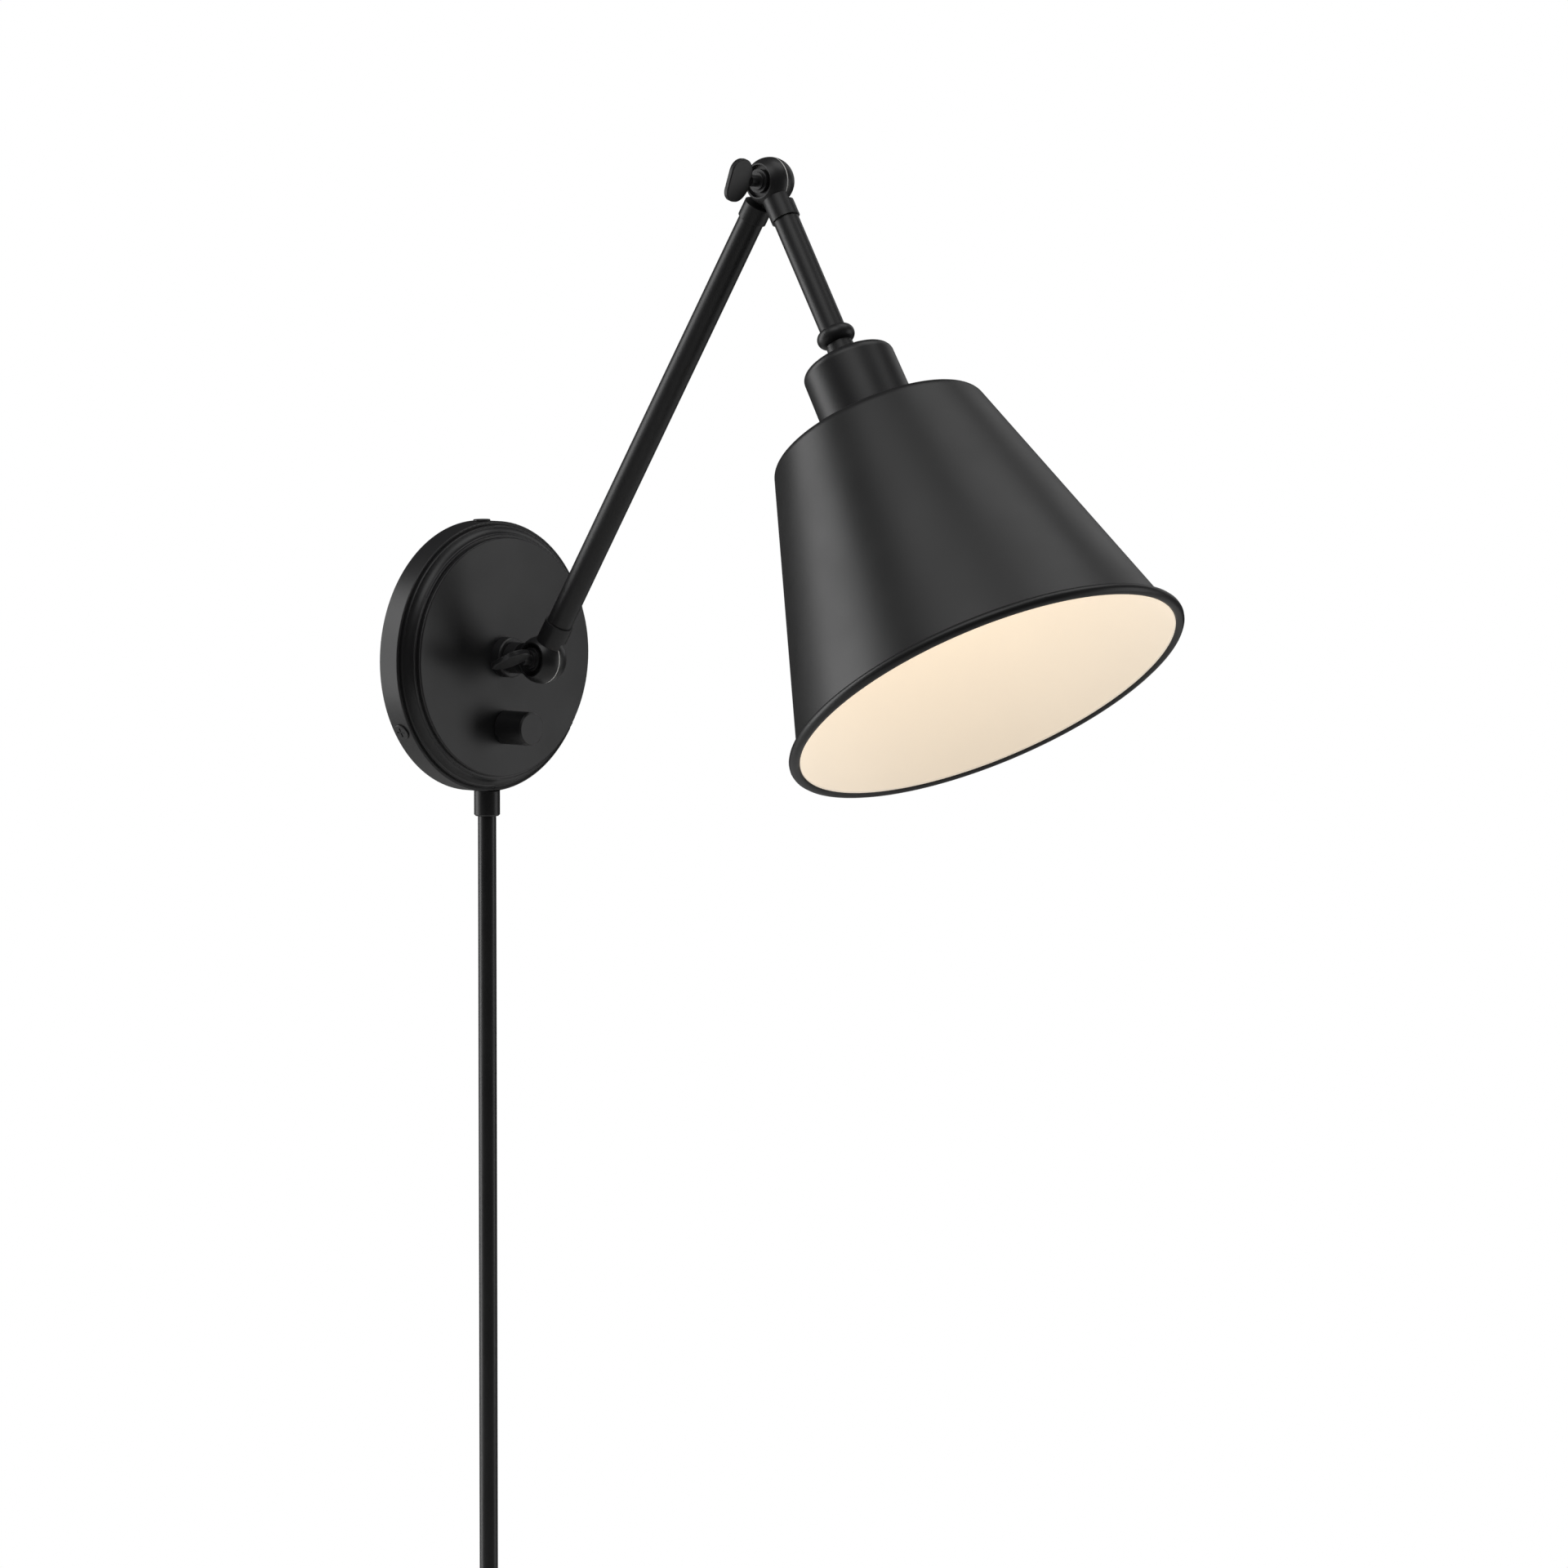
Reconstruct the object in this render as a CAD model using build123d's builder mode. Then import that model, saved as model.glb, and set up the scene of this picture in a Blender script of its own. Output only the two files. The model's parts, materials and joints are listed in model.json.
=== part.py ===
"""Swing arm wall sconce: two ball knuckles with thumb keys, a tapered shade and a cord.

Millimetres. The wall is the plane Y = 0 and the lamp stands out along -Y. Z is up, and X
runs to the right seen from the room. The origin is the centre of the backplate on the wall.
"""

import os
from math import cos, pi, radians, sin, sqrt, tan

from build123d import *

# Arms: half inch tube, two equal ball knuckles
ARM_LENGTH = 279.2
SWIVEL = 2.6
LOWER_LEAN = 31.2
UPPER_LEAN = 32.3
JOINT_DEPTH = 46.3
TUBE_RADIUS = 6.35
TUBE_WALL = 1.2
KNUCKLE_RADIUS = 12.0
KNUCKLE_GAP = 0.8
WASHER_RADIUS = 11.95
COLLAR_WALL = 0.85
COLLAR_START = 13.2
COLLAR_END = 21.5
TUBE_START = 15.5
CABLE_RADIUS = 1.8
CABLE_OFFSET = 3.0
CABLE_INSET = 6.0

# Thumb keys
KEY_SEAT = 8.3
KEY_RECESS_RADIUS = 8.0
KEY_RECESS = 2.0
KEY_SHANK_RADIUS = 2.5
KEY_THREAD = 8.0
KEY_SHOULDER_RADIUS = 5.8
KEY_SHOULDER = 2.0
KEY_STEP_RADIUS = 4.4
KEY_STEP = 1.1
KEY_COLLAR_RADIUS = 2.8
KEY_COLLAR = 6.4
WING_HEIGHT = 21.6
WING_LENGTH = 15.0
WING_CORNER = 6.0
WING_THICKNESS = 2.6
WING_ROUND = 0.5
LOWER_KEY_LEAN = 66.0
UPPER_KEY_LEAN = 17.5

# Fits
RUNNING_GAP = 0.08
FACE_GAP = 0.35
THREAD_RUNOUT = 0.5

# Backplate and what is behind it
PLATE_RADIUS = 67.5
PLATE_DEPTH = 20.4
PLATE_WALL = 1.6
LIP_DROP = 8.2
LIP_ROUND = 0.7
LIP_BEAD_BULGE = 0.25
COVE_INSET = 5.9
COVE_DROP = 3.5
COVE_BULGE = -0.5
RING_BULGE = 0.16
FACE_INSET = 8.6
# Rings from the lip to the face: inset from the radius, drop below the face, bulge of the arc
PLATE_RINGS = (
    (2.0, 8.6, 0),
    (2.1, 7.5, 0),
    (3.2, 6.9, LIP_BEAD_BULGE),
    (COVE_INSET, COVE_DROP, COVE_BULGE),
    (6.2, 3.2, 0),
    (6.3, 2.3, 0),
    (6.9, 1.9, RING_BULGE),
    (7.7, 1.9, 0),
    (7.8, 0.4, 0),
    (FACE_INSET, 0, RING_BULGE),
)
HOLLOW_DROP = 2.4
HOLLOW_INSET = 1.8
HOLLOW_BEVEL = 2.0
MOUNT_INSET = 7.5
MOUNT_THICKNESS = 1.6
MOUNT_CENTRE_RADIUS = 14.0
MOUNT_HOLE_RADIUS = 2.4
MOUNT_SPACING = 88.9
TAB_WIDTH = 12.0
TAB_DEPTH = 9.0
TAB_THICKNESS = 3.4
SCREW_ANGLES = (91.2, 211.2, 331.2)
SCREW_DEPTH = 5.6
SCREW_RADIUS = 2.0
SCREW_HEAD_RADIUS = 4.3
SCREW_HEAD = 0.75
SCREW_SLOT = 0.9
SCREW_SLOT_LENGTH = 5.2
GROUND_PLACE = (-24.0, 26.0)
GROUND_HEAD_RADIUS = 4.0
GROUND_HEAD = 2.5

# Boss and swivelling stem
BOSS_RADIUS = 10.0
BOSS_HEIGHT = 5.6
BOSS_EDGE = 0.6
BOSS_SPIGOT_RADIUS = 6.5
BOSS_SPIGOT = 6.5
BOSS_NUT_FLATS = 17.0
BOSS_NUT = 4.0
STEM_NECK_RADIUS = 7.75
STEM_SHANK_RADIUS = 4.75
STEM_BORE_RADIUS = 2.8
STEM_WASHER_RADIUS = 8.0
STEM_WASHER = 0.8
STEM_NUT_FLATS = 14.0
STEM_NUT = 3.0
STEM_END = 0.8

# Rotary switch and knob
KNOB_HEIGHT = -35.0
KNOB_RADIUS = 8.4
KNOB_LENGTH = 18.0
KNOB_EDGE = 0.7
KNOB_RECESS_RADIUS = 6.9
KNOB_RECESS = 4.6
SWITCH_WIDTH = 24.0
SWITCH_HEIGHT = 20.0
SWITCH_BODY = 13.4
SWITCH_ROUND = 1.6
BUSHING_RADIUS = 3.5
BUSHING_LENGTH = 4.0
SWITCH_NUT_FLATS = 11.0
SWITCH_NUT = 2.2
SHAFT_RADIUS = 2.4
SHAFT_IN_BODY = 8.0
SHAFT_IN_KNOB = 8.0
SET_SCREW_RADIUS = 1.5
SET_SCREW_LENGTH = 5.0

# Gland, leads and wire nut
GLAND_DEPTH = 7.4
GLAND_RADIUS = 6.5
GLAND_REACH = 12.5
GLAND_EDGE = 0.8
GLAND_SPIGOT_RADIUS = 4.5
GLAND_BORE_RADIUS = 2.8
GLAND_ROOT = 0.85
GLAND_NUT_RADIUS = 6.0
GLAND_NUT_INSET = 7.0
GLAND_INSET = 9.0
LEAD_RADIUS = 1.1
LEAD_OFFSET = 1.2
LEAD_BEND = 4.0
ARM_LEAD_BEND = 2.4
LEAD_DEPTH = 5.2
LEAD_IN_STEM = 6.0
LEAD_SIDE = 15.5
WIRE_NUT_START = 22.0
WIRE_NUT_LENGTH = 18.0
WIRE_NUT_RADII = (5.2, 3.2)
WIRE_NUT_HEIGHT = -20.2

# Socket, cup and shade, measured along the upper arm from the elbow
BEAD_START = 83.6
BEAD_LENGTH = 8.1
BEAD_RADIUS = 9.5
TUBE_LOWER_END = 93.2
NECK_SPIGOT_START = 81.0
NECK_RADIUS = 6.75
NECK_FLANGE_RADIUS = 9.0
NECK_FLANGE = 1.4
CUP_TOP = 100.9
CUP_RADII = (23.0, 23.6)
CUP_WALL = 1.2
CUP_ROUND = 4.5
NIPPLE_RADIUS = 5.0
CUP_NUT_FLATS = 14.0
CUP_NUT = 4.0
SOCKET_TOP = 109.4
SOCKET_ROOT = 5.0
SOCKET_RADIUS = 18.0
SOCKET_SKIRT_RADIUS = 19.6
SOCKET_SKIRT_START = 126.0
SOCKET_END = 152.0
SOCKET_FLOOR = 118.0
SHELL_RADIUS = 14.4
SHELL_WALL = 0.6
SHELL_END = 148.0
CONTACT_RADIUS = 5.0
CONTACT_HEIGHT = 1.5
SHADE_TOP = 141.4
SHADE_RIM = 284.5
SHADE_TOP_RADIUS = 53.2
SHADE_RIM_RADIUS = 96.9
SHADE_WALL = 1.0
SHADE_ROUND = 6.0
SHADE_HOLE_GAP = 0.3
RIM_BEAD_RADIUS = 2.7
RIM_BEAD_OFFSET = 1.6
SHADE_RING_RADIUS = 27.0
SHADE_RING = 5.0
BULB_RADIUS = 30.0
BULB_NECK_RADIUS = 13.0
BULB_CENTRE = 198.0
BULB_SHOULDER_ANGLE = 20.0
BULB_FLARE = 0.15
BULB_NECK_END = 154.0
BULB_WALL = 1.0
BULB_TIP = 1.0
BULB_BASE_END = 146.0

# Cord: round jacket, hanging straight and then wound into a tied coil
CORD_RADIUS = 4.6
CORD_LENGTH = 1800.0
COIL_INNER = 38.0
TURN_PITCH = 11.2
LAYER_PITCH = 11.0
LAYER_TURNS = 1.75
CLIMB_TURNS = 0.5
CORD_DROP = 425.0
BEND_DROP = 48.0
ENTRY_DROP = 50.0
BEND_SHARE = 0.45
ARCS_PER_TURN = 4
TOP_OF_TURN = 0.75
DIRECTION_STEP = 0.001
GAP_STEPS = 90
MOST_OF_A_TURN = 0.6
TIE_WIDTH = 12.0
TIE_THICKNESS = 1.2
TIE_SQUEEZE = 0.1
TIE_SLACK = 0.7
PLUG_RELIEF_RADII = (5.6, 7.4)
PLUG_RELIEF = 24.0
PLUG_WIDTH = 26.0
PLUG_THICKNESS = 17.0
PLUG_LENGTH = 32.0
PLUG_ROUND = 4.0
PRONG_SPACING = 12.7
PRONG_WIDTH = 6.35
PRONG_THICKNESS = 1.5
PRONG_LENGTH = 17.0

# Directions and places that the pieces share
X = Vector(1, 0, 0)
OUT = Vector(0, -1, 0)
IN = Vector(0, 1, 0)
UP = Vector(0, 0, 1)
DOWN = Vector(0, 0, -1)
ORIGIN = Vector(0, 0, 0)
FROM_BASE = (Align.CENTER, Align.CENTER, Align.MIN)
FAR = 1
NEAR = -1

hinge = Vector(cos(radians(SWIVEL)), 0, -sin(radians(SWIVEL)))
arm_up = Vector(sin(radians(SWIVEL)), 0, cos(radians(SWIVEL)))
lower_axis = OUT * sin(radians(LOWER_LEAN)) + arm_up * cos(radians(LOWER_LEAN))
upper_axis = OUT * sin(radians(UPPER_LEAN)) - arm_up * cos(radians(UPPER_LEAN))
wall_joint = OUT * JOINT_DEPTH
elbow = wall_joint + lower_axis * ARM_LENGTH
tube_bore = TUBE_RADIUS - TUBE_WALL
collar_radius = TUBE_RADIUS + COLLAR_WALL
hollow_radius = PLATE_RADIUS - PLATE_WALL
narrow_radius = PLATE_RADIUS - COVE_INSET - HOLLOW_INSET
lip_depth = PLATE_DEPTH - LIP_DROP
face_inside = PLATE_DEPTH - PLATE_WALL
boss_front = PLATE_DEPTH + BOSS_HEIGHT
spigot_end = PLATE_DEPTH - BOSS_SPIGOT
stem_washer_front = spigot_end - FACE_GAP
stem_nut_front = stem_washer_front - STEM_WASHER
stem_end = stem_nut_front - STEM_NUT - STEM_END
screw_length = PLATE_WALL + TAB_THICKNESS + THREAD_RUNOUT
knob_centre = UP * KNOB_HEIGHT
knob_back = PLATE_DEPTH + 2 * FACE_GAP
switch_back = face_inside - SWITCH_BODY
shell_bore = SHELL_RADIUS - SHELL_WALL
gland_end = PLATE_RADIUS + GLAND_REACH
gland_top = PLATE_RADIUS - GLAND_INSET
gland_nut_top = PLATE_RADIUS - GLAND_NUT_INSET
bend_start = -gland_end - CORD_DROP
bend_end = bend_start - BEND_DROP
coil_entry = bend_end - ENTRY_DROP
coil_outer = COIL_INNER + TURN_PITCH * LAYER_TURNS
coil_turns = 2 * LAYER_TURNS + CLIMB_TURNS
coil_centre = Vector(0, -GLAND_DEPTH, coil_entry - 2 * CORD_RADIUS)

os.makedirs("parts", exist_ok=True)


def finish(piece, name):
    """Label a finished piece and write it to its own file."""
    piece.part.label = name
    export_step(piece.part, f"parts/{name}.step")


# Shapes used by several pieces


def across(along):
    """Direction square to an axis that lies nearest to X."""
    return along.cross(X.cross(along))


def lathe_plane(origin, along):
    """Drawing plane of a turned piece: x is the radius, y runs along the axis."""
    return Plane(origin=origin, x_dir=across(along), z_dir=X.cross(along))


def turned(outline, origin, along):
    """Solid of revolution from corner points (radius, distance along the axis)."""
    with BuildPart() as piece:
        with BuildSketch(lathe_plane(origin, along)):
            with BuildLine():
                Polyline(*outline, close=True)
            make_face()
        revolve(axis=Axis(origin, along))
    return piece


def corner_at(section, place):
    """Corner of a section that lies at a place in its drawing plane."""
    return section.vertices().sort_by_distance(place)[0]


def plain_ring(inner, outer, start, end):
    """Corner points of a ring, or of a disc where inner is 0."""
    return [(inner, start), (outer, start), (outer, end), (inner, end)]


def hex_nut(base, along, flats, bore, thickness):
    """Hexagon nut standing on a base point."""
    with BuildPart() as nut:
        with BuildSketch(Plane(origin=base, x_dir=across(along), z_dir=along)):
            RegularPolygon(flats / 2, 6, major_radius=False)
            Circle(bore, mode=Mode.SUBTRACT)
        extrude(amount=thickness)
    return nut


def rod_between(start, end, radius):
    """Straight round rod from one point to another."""
    run = end - start
    with BuildPart() as rod:
        with Locations(Plane(origin=start, z_dir=run)):
            Cylinder(radius, run.length, align=FROM_BASE)
    return rod


def bent_route(points, bends):
    """Straight runs through a list of points, joined by tangent arcs."""
    with BuildLine() as path:
        FilletPolyline(*points, radius=bends)
    return path.wire()


def round_rod(route, radius):
    """Round rod along a route."""
    with BuildPart() as rod:
        with BuildSketch(Plane(origin=route @ 0, z_dir=route % 0)):
            Circle(radius)
        sweep(path=route)
    return rod


# Backplate, mounting plate and side screws


def hollow_outline():
    """Inside of the backplate, from the wall to the back of its face."""
    return [
        (0, 0),
        (hollow_radius, 0),
        (hollow_radius, lip_depth - HOLLOW_DROP),
        (narrow_radius, lip_depth - PLATE_WALL),
        (narrow_radius, face_inside - HOLLOW_BEVEL),
        (narrow_radius - HOLLOW_BEVEL, face_inside),
        (0, face_inside),
    ]


hollow = turned(hollow_outline(), ORIGIN, OUT)

screw_directions = [Vector(cos(radians(a)), 0, sin(radians(a))) for a in SCREW_ANGLES]
screw_seats = [
    Plane(origin=out * PLATE_RADIUS + OUT * SCREW_DEPTH, x_dir=OUT, z_dir=out)
    for out in screw_directions
]
gland_seat = Plane(origin=(0, -GLAND_DEPTH, -PLATE_RADIUS), x_dir=X, z_dir=DOWN)

with BuildPart() as backplate:
    with BuildSketch(lathe_plane(ORIGIN, OUT)):
        with BuildLine():
            lip = (PLATE_RADIUS - LIP_ROUND, lip_depth)
            lip_middle = LIP_ROUND * (1 - cos(pi / 4))
            Polyline((0, PLATE_DEPTH), (0, 0), (PLATE_RADIUS, 0), (PLATE_RADIUS, lip_depth - LIP_ROUND))
            ThreePointArc(
                (PLATE_RADIUS, lip_depth - LIP_ROUND),
                (PLATE_RADIUS - lip_middle, lip_depth - lip_middle),
                lip,
            )
            here = lip
            for inset, drop, bulge in PLATE_RINGS:
                there = (PLATE_RADIUS - inset, PLATE_DEPTH - drop)
                if bulge:
                    SagittaArc(here, there, -bulge)
                else:
                    Line(here, there)
                here = there
            Line(here, (0, PLATE_DEPTH))
        make_face()
    revolve(axis=Axis(ORIGIN, OUT))
    add(hollow.part, mode=Mode.SUBTRACT)
    with Locations(Plane(origin=OUT * PLATE_DEPTH, x_dir=X, z_dir=IN)):
        Cylinder(BOSS_SPIGOT_RADIUS, PLATE_WALL, align=FROM_BASE, mode=Mode.SUBTRACT)
    with Locations(Plane(origin=knob_centre + OUT * PLATE_DEPTH, x_dir=X, z_dir=IN)):
        Cylinder(BUSHING_RADIUS, PLATE_WALL, align=FROM_BASE, mode=Mode.SUBTRACT)
    with Locations(*screw_seats):
        Cylinder(SCREW_RADIUS, 2 * screw_length, mode=Mode.SUBTRACT)
    with Locations(gland_seat):
        Cylinder(GLAND_SPIGOT_RADIUS, 2 * (PLATE_RADIUS - gland_top), mode=Mode.SUBTRACT)
finish(backplate, "backplate")

with BuildPart() as mounting_plate:
    with BuildSketch(Plane(origin=ORIGIN, x_dir=X, z_dir=OUT)):
        Circle(PLATE_RADIUS - MOUNT_INSET)
        Circle(MOUNT_CENTRE_RADIUS, mode=Mode.SUBTRACT)
        with GridLocations(MOUNT_SPACING, 0, 2, 1):
            Circle(MOUNT_HOLE_RADIUS, mode=Mode.SUBTRACT)
    extrude(amount=MOUNT_THICKNESS)
    for out in screw_directions:
        inner = hollow_radius - TAB_THICKNESS
        bridge = Plane(origin=out * (inner - TAB_WIDTH / 2), x_dir=out, z_dir=OUT)
        with BuildSketch(bridge):
            Rectangle(TAB_WIDTH, TAB_WIDTH, align=(Align.MIN, Align.CENTER))
        extrude(amount=MOUNT_THICKNESS)
        with BuildSketch(Plane(origin=out * inner, x_dir=out, z_dir=OUT)):
            Rectangle(2 * TAB_THICKNESS, TAB_WIDTH, align=(Align.MIN, Align.CENTER))
        extrude(amount=TAB_DEPTH)
    add(turned(plain_ring(0, hollow_radius, 0, TAB_DEPTH), ORIGIN, OUT).part, mode=Mode.INTERSECT)
    with Locations(*screw_seats):
        Cylinder(SCREW_RADIUS, 2 * screw_length, mode=Mode.SUBTRACT)
    ground_seat = Plane(origin=(GROUND_PLACE[0], 0, GROUND_PLACE[1]), x_dir=X, z_dir=OUT)
    with Locations(ground_seat):
        Cylinder(SCREW_RADIUS, MOUNT_THICKNESS, align=FROM_BASE, mode=Mode.SUBTRACT)
finish(mounting_plate, "mounting_plate")

with BuildPart() as side_screws:
    with Locations(*screw_seats):
        Cylinder(SCREW_HEAD_RADIUS, SCREW_HEAD, align=FROM_BASE)
    head_edges = [
        edge
        for edge in side_screws.edges().filter_by(GeomType.CIRCLE)
        if (edge.arc_center - OUT * SCREW_DEPTH).length > PLATE_RADIUS + SCREW_HEAD / 2
    ]
    fillet(head_edges, SCREW_HEAD / 2)
    with Locations(*[seat.offset(-screw_length) for seat in screw_seats]):
        Cylinder(SCREW_RADIUS, screw_length, align=FROM_BASE)
    with Locations(*[seat.offset(SCREW_HEAD) for seat in screw_seats]):
        Box(SCREW_SLOT_LENGTH, SCREW_SLOT, SCREW_HEAD, mode=Mode.SUBTRACT)
        Box(SCREW_SLOT, SCREW_SLOT_LENGTH, SCREW_HEAD, mode=Mode.SUBTRACT)
finish(side_screws, "side_screws")

with BuildPart() as ground_screw:
    with Locations(ground_seat):
        Cylinder(SCREW_RADIUS, MOUNT_THICKNESS, align=FROM_BASE)
    with Locations(ground_seat.offset(MOUNT_THICKNESS)):
        Cylinder(GROUND_HEAD_RADIUS, GROUND_HEAD, align=FROM_BASE)
    with Locations(ground_seat.offset(MOUNT_THICKNESS + GROUND_HEAD)):
        Box(2 * GROUND_HEAD_RADIUS, SCREW_SLOT, GROUND_HEAD, mode=Mode.SUBTRACT)
finish(ground_screw, "ground_screw")

# Boss and swivelling stem with the far half of the wall knuckle

boss_bore = STEM_SHANK_RADIUS + RUNNING_GAP
stem_boss = turned(
    [
        (boss_bore, spigot_end),
        (BOSS_SPIGOT_RADIUS, spigot_end),
        (BOSS_SPIGOT_RADIUS, PLATE_DEPTH),
        (BOSS_RADIUS, PLATE_DEPTH),
        (BOSS_RADIUS, boss_front - BOSS_EDGE),
        (BOSS_RADIUS - BOSS_EDGE, boss_front),
        (boss_bore, boss_front),
    ],
    ORIGIN,
    OUT,
)
finish(stem_boss, "stem_boss")

boss_nut = hex_nut(OUT * face_inside, IN, BOSS_NUT_FLATS, BOSS_SPIGOT_RADIUS, BOSS_NUT)
finish(boss_nut, "boss_nut")


def knuckle_half(centre, along, side, neck_radius, neck_end):
    """Half ball with half a neck, which becomes a full round collar beyond the ball."""
    frame = Plane(origin=centre, x_dir=hinge, z_dir=along)
    with BuildPart() as half:
        with Locations(frame):
            Sphere(KNUCKLE_RADIUS)
            Cylinder(neck_radius, neck_end, align=FROM_BASE)
        parting = Plane(origin=centre + hinge * (side * KNUCKLE_GAP / 2), z_dir=hinge * side)
        split(bisect_by=parting, keep=Keep.TOP)
        with Locations(frame.offset(COLLAR_START)):
            Cylinder(neck_radius, neck_end - COLLAR_START, align=FROM_BASE)
        with Locations(Plane(origin=centre - hinge * KNUCKLE_RADIUS, z_dir=hinge)):
            screw_hole = KNUCKLE_RADIUS + KEY_THREAD + THREAD_RUNOUT
            Cylinder(KEY_SHANK_RADIUS + RUNNING_GAP, screw_hole, align=FROM_BASE, mode=Mode.SUBTRACT)
    return half


neck_length = JOINT_DEPTH - boss_front - FACE_GAP
shank_length = JOINT_DEPTH - neck_length - stem_end
with BuildPart() as wall_knuckle:
    add(knuckle_half(wall_joint, IN, FAR, STEM_NECK_RADIUS, neck_length).part)
    with Locations(Plane(origin=wall_joint + IN * neck_length, x_dir=X, z_dir=IN)):
        Cylinder(STEM_SHANK_RADIUS, shank_length, align=FROM_BASE)
    with Locations(Plane(origin=wall_joint + IN * COLLAR_START, x_dir=X, z_dir=IN)):
        bore_length = neck_length + shank_length - COLLAR_START
        Cylinder(STEM_BORE_RADIUS, bore_length, align=FROM_BASE, mode=Mode.SUBTRACT)
finish(wall_knuckle, "wall_knuckle")

washer_outline = plain_ring(STEM_SHANK_RADIUS, STEM_WASHER_RADIUS, stem_nut_front, stem_washer_front)
stem_washer = turned(washer_outline, ORIGIN, OUT)
finish(stem_washer, "stem_washer")

stem_nut = hex_nut(OUT * stem_nut_front, IN, STEM_NUT_FLATS, STEM_SHANK_RADIUS, STEM_NUT)
finish(stem_nut, "stem_nut")

# Rotary switch, its nut and shaft, and the knob

bushing_end = PLATE_DEPTH + BUSHING_LENGTH
shaft_back = face_inside - SHAFT_IN_BODY
shaft_front = knob_back + KNOB_RECESS + SHAFT_IN_KNOB

with BuildPart() as switch_body:
    with BuildSketch(Plane(origin=knob_centre + OUT * switch_back, x_dir=X, z_dir=OUT)):
        RectangleRounded(SWITCH_WIDTH, SWITCH_HEIGHT, SWITCH_ROUND)
    extrude(amount=SWITCH_BODY)
    with Locations(Plane(origin=knob_centre + OUT * face_inside, x_dir=X, z_dir=OUT)):
        Cylinder(BUSHING_RADIUS, bushing_end - face_inside, align=FROM_BASE)
    with Locations(Plane(origin=knob_centre + OUT * (shaft_back - THREAD_RUNOUT), x_dir=X, z_dir=OUT)):
        Cylinder(
            SHAFT_RADIUS + RUNNING_GAP,
            bushing_end - shaft_back + THREAD_RUNOUT,
            align=FROM_BASE,
            mode=Mode.SUBTRACT,
        )
finish(switch_body, "switch_body")

switch_nut = hex_nut(knob_centre + OUT * PLATE_DEPTH, OUT, SWITCH_NUT_FLATS, BUSHING_RADIUS, SWITCH_NUT)
finish(switch_nut, "switch_nut")

switch_shaft = turned(plain_ring(0, SHAFT_RADIUS, shaft_back, shaft_front), knob_centre, OUT)
finish(switch_shaft, "switch_shaft")

set_screw_depth = shaft_front - SHAFT_IN_KNOB / 2
set_screw_seat = Plane(origin=knob_centre + OUT * set_screw_depth + DOWN * SHAFT_RADIUS, z_dir=DOWN)

with BuildPart() as knob:
    with Locations(Plane(origin=knob_centre + OUT * knob_back, x_dir=X, z_dir=OUT)):
        Cylinder(KNOB_RADIUS, KNOB_LENGTH, align=FROM_BASE)
    chamfer(knob.edges().filter_by(GeomType.CIRCLE).sort_by(Axis.Y)[0], KNOB_EDGE)
    with Locations(Plane(origin=knob_centre + OUT * knob_back, x_dir=X, z_dir=OUT)):
        Cylinder(KNOB_RECESS_RADIUS, KNOB_RECESS, align=FROM_BASE, mode=Mode.SUBTRACT)
        shaft_hole = shaft_front - knob_back
        Cylinder(SHAFT_RADIUS, shaft_hole, align=FROM_BASE, mode=Mode.SUBTRACT)
    with Locations(set_screw_seat):
        Cylinder(SET_SCREW_RADIUS, KNOB_RADIUS, align=FROM_BASE, mode=Mode.SUBTRACT)
finish(knob, "knob")

with BuildPart() as knob_screw:
    with Locations(set_screw_seat):
        Cylinder(SET_SCREW_RADIUS, SET_SCREW_LENGTH, align=FROM_BASE)
    add(switch_shaft.part, mode=Mode.SUBTRACT)
finish(knob_screw, "knob_screw")

# Gland, leads behind the plate and the wire nut

gland_axis = Vector(0, -GLAND_DEPTH, 0)

with BuildPart() as cord_gland:
    with BuildSketch(lathe_plane(gland_axis, DOWN)):
        with BuildLine():
            Polyline(
                (0, gland_top),
                (GLAND_SPIGOT_RADIUS, gland_top),
                (GLAND_SPIGOT_RADIUS, hollow_radius),
                (GLAND_RADIUS, hollow_radius),
                (GLAND_RADIUS, gland_end - GLAND_EDGE),
                (GLAND_RADIUS - GLAND_EDGE, gland_end),
                (0, gland_end),
                close=True,
            )
        make_face()
    revolve(axis=Axis(gland_axis, DOWN))
    drum = turned(plain_ring(0, PLATE_RADIUS, 0, PLATE_DEPTH), ORIGIN, OUT)
    add(drum.part, mode=Mode.SUBTRACT)
    with Locations(Plane(origin=gland_axis + DOWN * gland_top, z_dir=DOWN)):
        Cylinder(GLAND_SPIGOT_RADIUS, PLATE_RADIUS - gland_top + GLAND_ROOT, align=FROM_BASE)
        bore_end = gland_end - gland_top
        Cylinder(GLAND_BORE_RADIUS, bore_end, align=FROM_BASE, mode=Mode.SUBTRACT)
finish(cord_gland, "cord_gland")

with BuildPart() as gland_nut:
    with Locations(Plane(origin=gland_axis + DOWN * gland_nut_top, z_dir=DOWN)):
        Cylinder(GLAND_NUT_RADIUS, PLATE_RADIUS - gland_nut_top, align=FROM_BASE)
        Cylinder(GLAND_SPIGOT_RADIUS, PLATE_RADIUS, align=FROM_BASE, mode=Mode.SUBTRACT)
    add(hollow.part, mode=Mode.INTERSECT)
finish(gland_nut, "gland_nut")

switch_bottom = KNOB_HEIGHT - SWITCH_HEIGHT / 2
switch_top = KNOB_HEIGHT + SWITCH_HEIGHT / 2
lead_start = -gland_end
wire_nut_axis = Vector(WIRE_NUT_START, -GLAND_DEPTH, WIRE_NUT_HEIGHT)

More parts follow.
